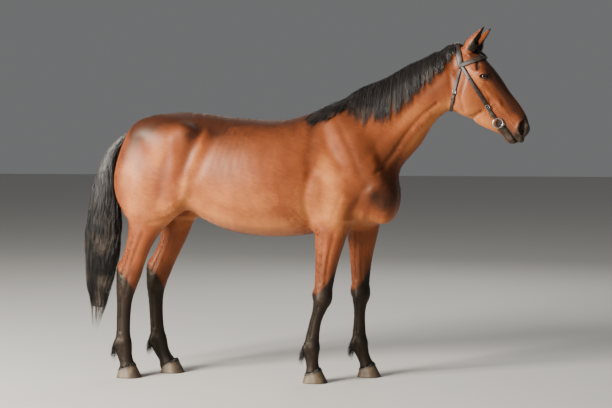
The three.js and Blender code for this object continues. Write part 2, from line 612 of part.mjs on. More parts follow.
function hoofShape(name) {
  const { toe, heel, y } = hooves[name];
  const rim = rimOf(name);
  const outline = (x0, x1, half, z0, z1) => Array.from({ length: 18 }, (_, j) => {
    const a = (j / 18) * Math.PI * 2, c = Math.cos(a), s = Math.sin(a);
    const l = (x1 - x0) / 2, m = (x1 + x0) / 2;
    const x = m + l * Math.sign(c) * Math.abs(c) ** (c < 0 ? 0.55 : 0.95);
    const f = (x - x0) / (x1 - x0);
    return V(x, y + half * Math.sign(s) * Math.abs(s) ** 0.9 * (c < 0 ? 0.96 : 1), z0 + (z1 - z0) * f);
  });
  const top = outline(rim.back.x, rim.front.x, hoof.coronetHalfWidth, rim.back.z, rim.front.z);
  const ground = outline(heel, toe, hoof.groundHalfWidth, 0, 0);
  const middle = top.map((p, i) => p.clone().lerp(ground[i], 0.5));
  const crown = rim.front.clone().add(rim.back).divideScalar(2);
  return loftRings([ground, middle, top], V((toe + heel) / 2, y, 0), crown);
}

// ---------------------------------------------------------------- assembly

const cut = (shape, ...others) => largest(wasm.Manifold.difference([shape, ...others]));
const headPiece = take([1330, 0, 1640]);
add('head', cut(headPiece, ...headCutters), looks.coat, 1.1);
add('neck', take([850, 0, 1510]), looks.coat, 2);
add('trunk', take([0, 0, 1200]), looks.coat, 3);
for (const [name, leg] of Object.entries(legs)) {
  const part = (height) => take(boneAt(leg, height).toArray());
  const upper = name.startsWith('front') ? 'forearm_' : 'gaskin_';
  add(upper + name, part((leg.knee + leg.top) / 2), looks.coat, 2.4);
  add('cannon_' + name, part((leg.knee + leg.fetlock) / 2), looks.points, 1.8);
  add('pastern_' + name, part(130), looks.points, 1.4);
  add('hoof_' + name, hoofShape(name), looks.hoof);
}
for (const side of ['right', 'left']) {
  add('eye_' + side, eyeBalls[side], looks.eye);
  add('ear_' + side, earShells[side], looks.coat, 0.5);
}
add('mane', cut(mane, frontGrown, trunkGrown), looks.hair, 1.2);
add('forelock', cut(forelock, frontGrown, earShells.right, earShells.left), looks.hair);
add('tail', cut(tailBody, trunkGrown), looks.hair, 2);
for (const [name, shape] of Object.entries(fittings)) {
  if (name.startsWith('bit')) add(name, shape, looks.metal);
  else add(name, cut(shape, frontGrown), looks.leather, 1.2);
}

// The part stands on the middle of its own footprint.
const box = new THREE.Box3().setFromObject(root);
root.position.set(-(box.min.x + box.max.x) / 2, -(box.min.y + box.max.y) / 2, -box.min.z);

export default root;
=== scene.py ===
import bpy
import json
import math
import numpy as np
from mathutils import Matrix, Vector

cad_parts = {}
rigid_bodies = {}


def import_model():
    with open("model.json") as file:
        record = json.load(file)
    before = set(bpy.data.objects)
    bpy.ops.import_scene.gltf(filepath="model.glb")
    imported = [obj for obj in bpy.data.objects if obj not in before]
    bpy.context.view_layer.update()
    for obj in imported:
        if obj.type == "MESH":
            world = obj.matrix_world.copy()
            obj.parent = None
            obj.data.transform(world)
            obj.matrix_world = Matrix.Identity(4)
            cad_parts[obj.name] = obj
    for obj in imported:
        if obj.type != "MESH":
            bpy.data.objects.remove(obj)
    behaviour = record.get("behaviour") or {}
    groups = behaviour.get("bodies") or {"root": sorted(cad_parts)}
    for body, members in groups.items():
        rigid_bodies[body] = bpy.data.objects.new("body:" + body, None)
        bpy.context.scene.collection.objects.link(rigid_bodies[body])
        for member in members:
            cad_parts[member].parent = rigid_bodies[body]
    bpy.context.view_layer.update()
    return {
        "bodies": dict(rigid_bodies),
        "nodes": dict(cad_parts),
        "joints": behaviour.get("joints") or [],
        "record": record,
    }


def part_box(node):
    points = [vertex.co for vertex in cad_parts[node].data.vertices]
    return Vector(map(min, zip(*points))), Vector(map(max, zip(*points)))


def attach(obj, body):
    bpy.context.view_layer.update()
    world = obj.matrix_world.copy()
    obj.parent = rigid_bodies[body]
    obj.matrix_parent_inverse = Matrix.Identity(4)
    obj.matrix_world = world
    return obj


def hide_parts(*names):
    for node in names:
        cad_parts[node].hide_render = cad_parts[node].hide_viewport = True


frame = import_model()
print("frame loaded")

# The horse is planned in metres with x forward, y to its left and z up, from a mark near the girth.
# The frame's model stands on the middle of its box, so the plan is moved onto it by the heel of its right fore hoof.
plan = {
    "coatDepth": .0022,     # the skin lies this far inside the solids
    "trunk": [  # x, z, half width, up, down, squareness above
        (-.700, 1.290, .125, .180, .170, 2.0), (-.640, 1.275, .205, .248, .235, 2.1),
        (-.540, 1.270, .242, .283, .255, 2.1), (-.430, 1.260, .252, .305, .257, 2.1),
        (-.330, 1.230, .255, .330, .262, 2.1), (-.220, 1.190, .268, .353, .283, 2.1),
        (-.100, 1.160, .285, .367, .303, 2.1), (.020, 1.145, .295, .372, .310, 2.1),
        (.140, 1.140, .290, .376, .308, 2.0), (.260, 1.130, .268, .415, .293, 1.85),
        (.380, 1.120, .238, .472, .265, 1.7), (.500, 1.110, .212, .470, .240, 1.7),
        (.610, 1.100, .190, .380, .215, 1.9), (.690, 1.095, .162, .290, .192, 2.0),
        (.735, 1.095, .132, .225, .158, 2.0)],
    "neck": [
        (.520, 1.300, .160, .240, .270, 1.8), (.600, 1.360, .150, .270, .285, 1.7),
        (.659, 1.403, .138, .268, .262, 1.7), (.718, 1.446, .122, .268, .236, 1.7),
        (.777, 1.488, .108, .260, .218, 1.7), (.836, 1.531, .097, .240, .200, 1.7),
        (.894, 1.574, .088, .222, .170, 1.75), (.953, 1.617, .082, .214, .143, 1.75),
        (1.012, 1.659, .078, .206, .134, 1.8), (1.071, 1.702, .076, .188, .144, 1.9),
        (1.130, 1.745, .072, .178, .147, 2.0)],
    "head": [
        (1.192, 1.835, .066, .090, .170, 2.3), (1.242, 1.804, .084, .091, .213, 2.5),
        (1.285, 1.766, .095, .087, .246, 2.7), (1.324, 1.724, .092, .082, .250, 2.7),
        (1.359, 1.679, .076, .079, .226, 2.6), (1.393, 1.634, .064, .074, .203, 2.5),
        (1.425, 1.585, .056, .078, .184, 2.4), (1.457, 1.537, .051, .080, .150, 2.3),
        (1.488, 1.489, .052, .076, .112, 2.2), (1.514, 1.447, .049, .062, .086, 2.1)],
    "fore": [  # height on the leg, half depth fore and aft, half width
        (1.020, .122, .085), (.940, .112, .082), (.860, .095, .074), (.800, .084, .066), (.740, .073, .059),
        (.680, .065, .053), (.620, .059, .048), (.560, .055, .045), (.520, .054, .048), (.480, .051, .050),
        (.440, .044, .046), (.400, .037, .038), (.360, .035, .031), (.310, .037, .028), (.250, .042, .028),
        (.200, .049, .035), (.165, .046, .036), (.125, .039, .032), (.090, .039, .035), (.062, .047, .041),
        (.036, .050, .042)],
    "hind": [
        (1.400, .100, .058), (1.320, .148, .078), (1.240, .184, .094), (1.160, .200, .105), (1.080, .192, .100),
        (1.000, .160, .092), (.940, .124, .084), (.880, .098, .074), (.820, .081, .064), (.760, .072, .056),
        (.700, .071, .049), (.650, .073, .047), (.610, .073, .048), (.560, .066, .050), (.500, .055, .047),
        (.440, .046, .037), (.360, .043, .030), (.280, .043, .029), (.220, .048, .034), (.175, .053, .037),
        (.130, .046, .033), (.090, .043, .035), (.062, .052, .042), (.036, .054, .043)],
}
legs = {  # bones from shoulder or hip to coronet (x, y, z), and the hoof's toe, heel and middle
    "FrontRight": {"end": "front_right", "profile": "fore", "toe": .434, "heel": .286, "y": -.121, "bones": [
        (.458, -.125, 1.060), (.456, -.130, .900), (.426, -.128, .680), (.397, -.124, .470),
        (.357, -.123, .330), (.339, -.122, .190), (.348, -.121, .070), (.352, -.121, .030)]},
    "FrontLeft": {"end": "front_left", "profile": "fore", "toe": .711, "heel": .567, "y": .138, "bones": [
        (.592, .125, 1.060), (.600, .130, .900), (.590, .133, .680), (.586, .135, .470),
        (.581, .137, .330), (.584, .138, .190), (.624, .138, .070), (.634, .138, .030)]},
    "HindRight": {"end": "hind_right", "profile": "hind", "toe": -.674, "heel": -.826, "y": -.127, "bones": [
        (-.607, -.130, 1.180), (-.622, -.135, .980), (-.676, -.130, .810), (-.752, -.118, .600),
        (-.779, -.120, .440), (-.785, -.125, .190), (-.761, -.127, .070), (-.757, -.127, .030)]},
    "HindLeft": {"end": "hind_left", "profile": "hind", "toe": -.472, "heel": -.618, "y": .090, "bones": [
        (-.545, .128, 1.180), (-.530, .132, .980), (-.546, .122, .810), (-.634, .104, .600),
        (-.650, .098, .440), (-.632, .092, .190), (-.581, .090, .070), (-.566, .090, .030)]},
}
sideNames = {-1: "right", 1: "left"}
shift = np.array([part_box("hoof_front_right")[0][0] - legs["FrontRight"]["heel"], 0, 0])


def smoothRows(rows, steps):  # a smooth curve through the rows, in so many steps for each
    rows = np.array(rows, float)
    ends = np.vstack([2 * rows[0] - rows[1], rows, 2 * rows[-1] - rows[-2]])
    out = []
    for i in range(1, len(ends) - 2):
        a, b, c, d = ends[i - 1:i + 3]
        for t in np.arange(steps) / steps:
            out.append(0.5 * (2 * b + (c - a) * t + (2 * a - 5 * b + 4 * c - d) * t * t
                              + (3 * b - a - 3 * c + d) * t ** 3))
    return np.array(out + [rows[-1]])


def unit(v):
    return v / np.maximum(np.linalg.norm(v, axis=-1, keepdims=True), 1e-9)


def dot(a, b):
    return np.einsum("ij,ij->i", a, b)


def smooth(a, b, v):
    t = np.clip((v - a) / (b - a), 0, 1)
    return t * t * (3 - 2 * t)


# The flesh is a soft union of swept sections and rounded masses. Each form has dist(p), below 0 inside it.
class Sweep:  # rows of x, y, z, half width, up, down, squareness above; caps are how far its two ends round off
    roundBelow = 2.05

    def __init__(self, rows, steps=3, caps=(.04, .04)):
        s = smoothRows(rows, steps).astype(np.float32)
        self.centre, self.size, self.caps = s[:, :3], s[:, 3:], caps
        along = unit(np.gradient(self.centre, axis=0))
        side = np.array([0, 1, 0]) - along[:, 1:2] * along
        self.axes = np.stack([along, unit(side), np.cross(along, unit(side))], 1).astype(np.float32)
        r = s[:, 3:6].max(1)[:, None]
        self.low, self.high = (self.centre - r).min(0), (self.centre + r).max(0)

    def dist(self, p):
        best = np.full(len(p), 1e9, np.float32)
        index, part = np.zeros(len(p), np.int32), np.zeros(len(p), np.float32)
        for i in range(len(self.centre) - 1):
            a, ab = self.centre[i], self.centre[i + 1] - self.centre[i]
            q = p - a
            t = np.clip((q @ ab) / (ab @ ab), 0, 1)
            q -= t[:, None] * ab
            d = dot(q, q)
            near = d < best
            best[near], index[near], part[near] = d[near], i, t[near]
        t = part[:, None]
        q = p - (self.centre[index] * (1 - t) + self.centre[index + 1] * t)
        axes = self.axes[index] * (1 - t[..., None]) + self.axes[index + 1] * t[..., None]
        along, side, high = np.einsum("ijk,ik->ji", axes, q)
        size = self.size[index] * (1 - t) + self.size[index + 1] * t
        above = high > 0
        reach = np.where(above, size[:, 1], size[:, 2])
        power = np.where(above, size[:, 3], self.roundBelow)
        side, high = np.abs(side), np.abs(high)
        e = ((side / size[:, 0]) ** power + (high / reach) ** power + 1e-12) ** (1 / power)
        e = np.sqrt(e * e + (along / np.where(index == 0, self.caps[0], self.caps[1])) ** 2)
        return np.sqrt(side ** 2 + high ** 2 + along ** 2) * (1 - 1 / np.maximum(e, 1e-2))


class Mass:  # an ellipsoid with its long axis pitched up towards +x and turned out towards +y
    def __init__(self, x, y, z, rx, ry, rz, pitch=0, yaw=0):
        (c, s), (cy, sy) = ((math.cos(math.radians(v)), math.sin(math.radians(v))) for v in (pitch, yaw))
        self.centre, self.radii = np.array([x, y, z], np.float32), np.array([rx, ry, rz], np.float32)
        turn = np.array([[cy, -sy, 0], [sy, cy, 0], [0, 0, 1]])
        self.axes = (turn @ np.array([[c, 0, -s], [0, 1, 0], [s, 0, c]])).astype(np.float32)
        half = np.abs(self.axes) @ self.radii
        self.low, self.high = self.centre - half, self.centre + half

    def dist(self, p):
        q = (p - self.centre) @ self.axes
        k0 = np.linalg.norm(q / self.radii, axis=1)
        k1 = np.linalg.norm(q / self.radii ** 2, axis=1)
        return np.where(k1 > 1e-4, k0 * (k0 - 1) / np.maximum(k1, 1e-4), -self.radii.min())


class Body:  # forms in the order in which they are added or cut, each with how softly it blends
    def __init__(self):
        self.forms = []

    def add(self, form, soft):
        self.forms.append((form, soft, 1))

    def cut(self, form, soft):
        self.forms.append((form, soft, -1))

    def field(self, p):  # below 0 inside the body
        p = np.asarray(p, np.float32)
        f = np.full(len(p), .5, np.float32)
        for form, soft, sign in self.forms:
            pad = .03 + soft * 1.1      # nothing beyond this feels the form
            near = np.all((p > form.low - pad) & (p < form.high + pad), axis=1)
            if near.any():
                g = f[near] * sign
                d = form.dist(p[near])
                h = np.maximum(soft - np.abs(g - d), 0) / soft
                f[near] = (np.minimum(g, d) - h * h * soft / 4) * sign
        return f

    def solve(self, p, e=.0012):  # the field and its slope from four samples round each point
        ways = np.array([(1, 1, 1), (1, -1, -1), (-1, 1, -1), (-1, -1, 1)], np.float32)
        samples = self.field((p[None] + e * ways[:, None]).reshape(-1, 3)).reshape(4, -1)
        return samples.mean(0), np.einsum("ki,kj->ij", samples, ways) / (4 * e)

    def settle(self, p, level, most=.01):  # moves points towards the place where the field has this level
        f, g = self.solve(p)
        step = -((f - level) / np.maximum(dot(g, g), .1))[:, None] * g
        return p + step * np.minimum(1, most / np.maximum(np.linalg.norm(step, axis=1), 1e-9))[:, None]

    def reach(self, start, way, most, steps=40, halvings=9):  # how far along each ray the flesh ends
        low, stride = np.zeros(len(start)), most / (steps - 1)
        for t in np.linspace(.01, most, steps):
            inside = (self.field(start + way * t) < 0) & (low > t - stride - .011)
            low = np.where(inside, t, low)
        high = low + stride
        for _ in range(halvings):
            mid = (low + high) / 2
            inside = self.field(start + way * mid[:, None]) < 0
            low, high = np.where(inside, mid, low), np.where(inside, high, mid)
        return low


def boneAt(leg, z):  # where the middle of a leg is at this height
    line = smoothRows(legs[leg]["bones"], 12)
    return np.array([np.interp(-z, -line[:, 2], line[:, k]) for k in range(3)])


def limb(leg, above=0):  # one leg, or only its part above a height
    rows = []
    for z, depth, width in plan[legs[leg]["profile"]]:
        if z > above:
            x, y, _ = boneAt(leg, z)
            rows.append((x, y, z, width, depth, depth, 2.2))
    return Sweep(rows, 2, (.05, .02))


def centred(rows, caps):
    return Sweep([(x, 0, z, *rest) for x, z, *rest in rows], 3, caps)


def addMasses(side, rows):
    for x, y, z, rx, ry, rz, pitch, soft in rows:
        flesh.add(Mass(x, side * y, z, rx, ry, rz, pitch), soft)


masses = {  # x, y away from the middle, z, radii, pitch in degrees, how softly it blends
    "front": [
        (.468, .168, 1.120, .165, .066, .122, 24, .060),        # triceps
        (.748, .072, 1.060, .078, .082, .145, 0, .060),         # breast
        (-.505, .130, 1.375, .240, .122, .150, -18, .070)],     # rump
    "thigh": {  # the right hind leg stands further back
        -1: [(-.450, .150, 1.165, .112, .092, .190, -4, .070),  # front of the thigh
             (-.704, .116, 1.180, .116, .092, .250, 0, .070),   # back of the thigh
             (-.470, .165, 1.045, .058, .062, .070, 0, .050)],  # stifle
        1: [(-.430, .150, 1.150, .112, .092, .190, 12, .070),
            (-.680, .116, 1.180, .116, .092, .250, 0, .070),
            (-.395, .165, 1.035, .058, .062, .070, 0, .050)]},
    "hip": [(-.378, .204, 1.425, .048, .034, .044, 0, .070)],
    "head": [
        (1.228, .050, 1.650, .105, .034, .118, -12, .030),      # cheek
        (1.304, .082, 1.764, .048, .027, .030, -42, .022),      # brow and orbit
        (1.358, .060, 1.655, .080, .013, .014, -54, .026),      # facial crest
        (1.529, .038, 1.464, .030, .019, .042, -60, .020)],     # nostril
    "middle": [
        (1.152, 0, 1.862, .105, .052, .080, 16, .030),          # poll
        (1.466, 0, 1.402, .038, .034, .028, -20, .020)],        # chin
    "shoulder": [  # a swept form: x, y away from the middle, z, half width, up, down, squareness above
        (.430, .062, 1.540, .034, .050, .050, 2), (.520, .108, 1.390, .052, .092, .092, 2),
        (.625, .138, 1.240, .058, .100, .100, 2), (.705, .148, 1.120, .060, .078, .078, 2)],
}
legSoft = .045
legLumps = {  # along x and out from the bone, height, radii, how softly it blends
    "fore": [
        (.026, 0, .492, .028, .040, .044, .030), (-.044, .004, .508, .016, .017, .030, .018),
        (0, .030, .478, .026, .014, .026, .022), (0, -.030, .478, .026, .014, .026, .022),
        (-.032, .016, .198, .018, .019, .028, .020), (-.032, -.016, .198, .018, .019, .028, .020),
        (.012, 0, .205, .030, .034, .030, .020), (-.036, 0, .170, .014, .014, .014, .016)],
    "hind": [
        (-.058, 0, .628, .020, .021, .050, .026), (.020, .026, .545, .030, .018, .034, .024),
        (.016, -.028, .540, .030, .018, .034, .024), (-.030, .020, .560, .024, .022, .050, .026),
        (-.034, .016, .200, .019, .019, .028, .020), (-.034, -.016, .200, .019, .019, .028, .020),
        (.012, 0, .206, .032, .034, .030, .020), (-.040, 0, .172, .014, .014, .014, .016)],
}
flesh = Body()
for leg in legs:
    flesh.add(limb(leg, .930), legSoft)
flesh.add(centred(plan["trunk"], (.045, .088)), .020)
for s in (-1, 1):
    flesh.add(Sweep([(x, s * y, *rest) for x, y, *rest in masses["shoulder"]]), .060)
    addMasses(s, masses["front"] + masses["thigh"][s] + masses["hip"])
flesh.add(centred(plan["neck"], (.060, .060)), .060)
flesh.add(centred(plan["head"], (.050, .045)), .030)
for s in (-1, 1):
    addMasses(s, masses["head"])
addMasses(1, masses["middle"])
for leg in legs:
    flesh.add(limb(leg), legSoft)
for leg, spec in legs.items():
    for dx, dy, z, rx, ry, rz, soft in legLumps[spec["profile"]]:
        x, y, _ = boneAt(leg, z)
        flesh.add(Mass(x + dx, y + dy, z, rx, ry, rz), soft)

eyeSpec = {"x": 1.316, "z": 1.752, "radius": .0225, "proud": .0045, "lid": .0026, "slant": -7,
           "halfLength": .0232, "upper": .0132, "lower": .0112}
earSpec = {  # base and tip of each
    -1: ((1.222, -.046, 1.905), (1.320, -.072, 2.040)), 1: ((1.240, .046, 1.900), (1.352, .074, 2.040)),
    "wall": .0050, "profile": [  # height along it, half width, half depth
        (0, .028, .038), (.15, .031, .042), (.28, .033, .042), (.40, .033, .037), (.50, .030, .031),
        (.62, .026, .023), (.75, .019, .0155), (.88, .011, .0085), (1, .0015, .0015)]}
noseSpec = {  # x, y away from the middle, z, radii, pitch and turn in degrees, how softly it blends
    "nostril": (1.529, .045, 1.460, .0150, .022, .035, 0, 24, .005),
    "channel": (1.532, .040, 1.499, .0170, .014, .0075, 40, 10, .006),
    "wing": (1.5430, .037, 1.462, .0055, .010, .026, 0, 24, .005),
}


class Ear:  # a curled leaf standing on its base, hollow towards the front
    def __init__(self, side):
        self.base, tip = (np.array(v, np.float32) for v in earSpec[side])
        self.length = float(np.linalg.norm(tip - self.base))
        self.axis = (tip - self.base) / self.length
        way = np.array([.93, side * .32, 0])
        self.open = unit(way - way @ self.axis * self.axis)
        self.across = np.cross(self.axis, self.open)
        self.low, self.high = np.minimum(self.base, tip) - .035, np.maximum(self.base, tip) + .02

    def place(self, p):
        q = p - self.base
        a = q @ self.axis / self.length
        t, wide, deep = np.array(earSpec["profile"]).T
        r = np.interp(a, t, wide)
        return a, q @ self.open * r / np.interp(a, t, deep), q @ self.across, r

    def dist(self, p):
        a, u, v, r = self.place(p)
        outer = np.hypot(u, v) - r
        hollow = smooth(.10, .42, a)
        inner = np.hypot(u - r * .75, v) - (r - earSpec["wall"]) * (.35 + .65 * hollow)
        shell = np.maximum(outer, -inner - (1 - hollow) * .02)
        return np.maximum(shell, np.maximum(a - 1, -.12 - a) * self.length) * .75


ears = {s: Ear(s) for s in (-1, 1)}


class EyeSlit:  # an almond cut through the lids, as wide as the eye opens
    def __init__(self, side, centre):
        self.side, self.centre = side, np.array(centre, np.float32)
        a = math.radians(eyeSpec["slant"])
        self.long, self.tall = np.array([math.cos(a), 0, math.sin(a)]), np.array([-math.sin(a), 0, math.cos(a)])
        self.low, self.high = self.centre - .03, self.centre + .03

    def place(self, p):
        q = p - self.centre
        return q @ self.long, q @ self.tall, q[:, 1] * self.side

    def dist(self, p):
        u, v, out = self.place(p)
        k = np.clip(1 - (u / eyeSpec["halfLength"]) ** 2, 0, 1) ** .8
        high = np.where(v > 0, eyeSpec["upper"], eyeSpec["lower"]) * k
        return np.maximum(np.maximum(np.abs(v) - high, np.abs(u) - eyeSpec["halfLength"]), .004 - out)


def noseForm(side, part):
    x, y, z, rx, ry, rz, pitch, turn, soft = noseSpec[part]
    return Mass(x, side * y, z, rx, ry, rz, pitch, side * turn), soft


eyes = {}
for s in (-1, 1):
    start, way = np.array([[eyeSpec["x"], 0, eyeSpec["z"]]]), np.array([[0, s, 0]])
    out = flesh.reach(start, way, .15)[0] - eyeSpec["radius"] + eyeSpec["proud"]
    eyes[s] = np.array([eyeSpec["x"], s * out, eyeSpec["z"]])
for s in (-1, 1):
    r = eyeSpec["radius"] + eyeSpec["lid"]
    x, y, z = eyes[s]
    flesh.add(Mass(x, y, z, r, r, r), .012)
    flesh.add(Mass(x - .004, y - s * .002, z + .016, .026, .016, .009, -34), .010)   # brow fold
    flesh.cut(EyeSlit(s, eyes[s]), .0025)
    flesh.add(ears[s], .012)
    flesh.cut(*noseForm(s, "nostril"))
    flesh.cut(*noseForm(s, "channel"))
    flesh.add(*noseForm(s, "wing"))
flesh.add(Mass(1.516, 0, 1.402, .026, .034, .022, -40), .014)   # upper lip
print("flesh planned")


# soft ridges and furrows drawn on both sides of the horse
relief = [  # line as x and z, width, height
    ([(.47, 1.53), (.53, 1.42), (.585, 1.31), (.625, 1.21), (.680, 1.145)], .022, -.0045),   # neck to shoulder
    ([(.355, 1.47), (.345, 1.38), (.338, 1.29), (.352, 1.21)], .032, -.0045),    # behind the shoulder blade
    ([(.485, 1.49), (.545, 1.37), (.60, 1.26), (.655, 1.17)], .030, .0030),      # front of the shoulder blade
    ([(.41, 1.47), (.445, 1.37), (.50, 1.27), (.56, 1.18)], .026, -.0025),       # under the spine of the blade
    ([(.36, 1.22), (.43, 1.16), (.52, 1.12), (.61, 1.10)], .022, -.0035),        # over the triceps
    ([(.345, 1.20), (.325, 1.10), (.325, 1.00), (.345, .92)], .022, -.0065),     # behind the triceps
    ([(.395, 1.13), (.385, 1.03), (.41, .95)], .022, .0030),
    ([(.52, 1.07), (.49, .99), (.47, .93)], .016, -.0030),
    ([(.66, 1.13), (.60, 1.02), (.555, .95)], .018, -.0040),                     # shoulder to forearm
    ([(.70, 1.10), (.665, 1.02), (.63, .95)], .020, .0035),
    ([(.72, 1.21), (.80, 1.31), (.88, 1.43), (.96, 1.525), (1.05, 1.60)], .013, -.0070),     # jugular furrow
    ([(.76, 1.22), (.84, 1.33), (.92, 1.445), (1.00, 1.53)], .018, .0035),
    ([(.66, 1.30), (.76, 1.42), (.87, 1.55), (.99, 1.67), (1.08, 1.75)], .026, -.0030),
    ([(.60, 1.44), (.70, 1.53), (.82, 1.63), (.96, 1.735), (1.07, 1.81)], .028, .0030),
    ([(1.115, 1.80), (1.125, 1.73), (1.135, 1.66), (1.145, 1.60)], .016, -.0050),    # behind the jaw
    ([(-.265, 1.45), (-.286, 1.37), (-.316, 1.30), (-.350, 1.22), (-.375, 1.13), (-.40, 1.06)],
     .020, .0055),      # flank fold
    ([(-.330, 1.41), (-.350, 1.34), (-.372, 1.27), (-.41, 1.17)], .028, -.0050),
    ([(-.205, 1.44), (-.225, 1.36), (-.265, 1.27), (-.30, 1.19)], .030, -.0045),    # hollow of the flank
    ([(-.34, 1.475), (-.25, 1.465), (-.16, 1.46)], .034, -.0035),
    ([(-.47, 1.42), (-.53, 1.33), (-.59, 1.24), (-.64, 1.15), (-.655, 1.02)], .050, .0030),    # down the thigh
    ([(-.485, 1.29), (-.505, 1.20), (-.53, 1.10), (-.55, 1.02)], .028, -.0034),
    ([(-.66, 1.38), (-.715, 1.27), (-.745, 1.15)], .036, -.0026),
    ([(-.44, 1.40), (-.445, 1.29), (-.45, 1.18)], .024, .0028),
    ([(-.715, 1.16), (-.73, 1.07), (-.725, .97)], .020, -.0032),   # back of the thigh
    ([(-.40, 1.00), (-.47, .955), (-.545, .925), (-.60, .915)], .014, -.0050),   # stifle to gaskin
    ([(-.45, 1.03), (-.50, 1.00), (-.56, .985)], .012, .0025),
    ([(-.36, 1.02), (-.25, .965), (-.10, .915), (.06, .893), (.22, .905)], .020, .0030),     # along the belly
    ([(-.33, 1.08), (-.20, 1.02), (-.04, .97), (.12, .95)], .030, -.0030),
    ([(.225, .945), (.262, .905), (.300, .880)], .006, -.0040),                  # elbow wrinkles
    ([(.245, .965), (.285, .925), (.320, .900)], .006, -.0045),
    ([(.262, .992), (.300, .950), (.335, .925)], .006, -.0035),
    ([(.240, .930), (.280, .893)], .007, .0030),
    ([(.255, .955), (.298, .914)], .007, .0030),
    ([(.350, .90), (.375, .86), (.400, .83)], .008, -.0035),
    ([(.365, .935), (.40, .89), (.43, .85)], .010, .0025),
    ([(-.12, 1.02), (-.05, .975), (.0, .96)], .004, .0012),                      # vein on the belly
    ([(1.216, 1.79), (1.205, 1.72), (1.185, 1.64), (1.205, 1.56)], .011, -.0030),    # edge of the cheek
    ([(1.279, 1.834), (1.279, 1.812), (1.278, 1.796)], .0105, -.0095),           # hollow above the eye
    ([(1.245, 1.79), (1.268, 1.765), (1.288, 1.745)], .007, .0035),              # cheekbone arch
    ([(1.258, 1.745), (1.300, 1.700), (1.340, 1.640), (1.368, 1.600)], .008, .0030),     # facial crest
    ([(1.245, 1.725), (1.288, 1.675), (1.328, 1.615), (1.362, 1.575)], .010, -.0035),
    ([(1.325, 1.715), (1.362, 1.660), (1.392, 1.615)], .012, -.0025),
    ([(1.358, 1.598), (1.345, 1.570), (1.338, 1.545), (1.350, 1.52)], .006, .0022),      # facial vein
    ([(1.395, 1.62), (1.425, 1.570), (1.455, 1.530)], .010, .0020),
    ([(1.372, 1.59), (1.400, 1.545), (1.440, 1.515)], .005, .0015),
    ([(1.250, 1.51), (1.265, 1.535), (1.300, 1.555)], .010, -.0055),             # jaw to bars
    ([(1.275, 1.515), (1.330, 1.485), (1.385, 1.450)], .012, .0025),
    ([(1.300, 1.552), (1.345, 1.53), (1.390, 1.512)], .010, -.0025),
    ([(1.418, 1.489), (1.443, 1.459), (1.467, 1.430), (1.491, 1.396), (1.512, 1.373)], .0048, -.0090),   # mouth
    ([(1.440, 1.482), (1.465, 1.450), (1.490, 1.418), (1.512, 1.395)], .006, .0022),     # upper lip
    ([(1.418, 1.468), (1.440, 1.438), (1.466, 1.405), (1.488, 1.385)], .006, .0020),     # lower lip
    ([(1.452, 1.500), (1.478, 1.470), (1.500, 1.440)], .004, -.0016),            # muzzle wrinkles
    ([(1.470, 1.508), (1.496, 1.478), (1.516, 1.450)], .004, -.0014),
    ([(1.434, 1.428), (1.452, 1.412)], .008, -.0030),
    ([(1.534, 1.514), (1.508, 1.494), (1.500, 1.470), (1.505, 1.444), (1.524, 1.416)], .006, .0032),     # nostril rim
    ([(1.322, 1.668), (1.341, 1.634), (1.351, 1.600)], .0050, -.0035),           # under the facial crest
    ([(1.286, 1.738), (1.302, 1.728), (1.320, 1.726), (1.340, 1.733)], .0035, -.0022),   # under the eye
    ([(1.288, 1.764), (1.300, 1.776), (1.318, 1.781), (1.336, 1.775)], .0032, -.0026),
]
legRelief = {  # line as distance from the bone along x and height up the leg, width, height
    "fore": [([(.030, .86), (.018, .76), (.012, .66), (.016, .57)], .010, -.0040),
             ([(-.030, .86), (-.022, .76), (-.022, .66), (-.020, .58)], .010, -.0035),
             ([(-.002, .84), (-.002, .74), (-.004, .64)], .014, .0030),
             ([(-.008, .445), (-.010, .36), (-.010, .27)], .0065, -.0042),
             ([(-.026, .44), (-.028, .36), (-.028, .27)], .005, -.0018),
             ([(.004, .180), (.004, .150)], .010, -.0020), ([(.000, .105), (.004, .085)], .010, .0015)],
    "hind": [([(.020, .86), (.010, .76), (.006, .68)], .012, -.0035),
             ([(-.035, .84), (-.030, .75), (-.028, .66), (-.030, .61)], .010, -.0065),
             ([(-.005, .86), (-.010, .77), (-.008, .68)], .014, .0030),
             ([(-.010, .47), (-.012, .38), (-.012, .27)], .0070, -.0045),
             ([(-.032, .46), (-.033, .37), (-.033, .27)], .005, -.0018),
             ([(.010, .60), (.018, .54), (.010, .49)], .010, -.0030),
             ([(.004, .180), (.004, .150)], .010, -.0020), ([(.000, .105), (.004, .085)], .010, .0015)],
}
strokes = [(*row, None) for row in relief]
for leg, spec in legs.items():
    for line, width, height in legRelief[spec["profile"]]:
        strokes.append(([(boneAt(leg, z)[0] + dx, z) for dx, z in line], width, height, boneAt(leg, .5)[1]))
grooves = {"rib": .00025, "ribPitch": .062, "spine": .0045, "breast": .006, "chin": .008}


def along2d(p, line, width):  # how near each point is to a line drawn on the side, from 0 to 1
    line = smoothRows(line, 4) if len(line) > 2 else np.array(line, float)
    amount = np.zeros(len(p))
    near = np.all((p[:, [0, 2]] > line.min(0) - 2.4 * width) & (p[:, [0, 2]] < line.max(0) + 2.4 * width), axis=1)
    q = p[near][:, [0, 2]]
    best = np.full(len(q), 1e9)
    for a, b in zip(line[:-1], line[1:]):
        t = np.clip((q - a) @ (b - a) / ((b - a) @ (b - a)), 0, 1)
        best = np.minimum(best, np.sum((q - a - t[:, None] * (b - a)) ** 2, 1))
    amount[near] = np.exp(-best / width ** 2)
    return amount


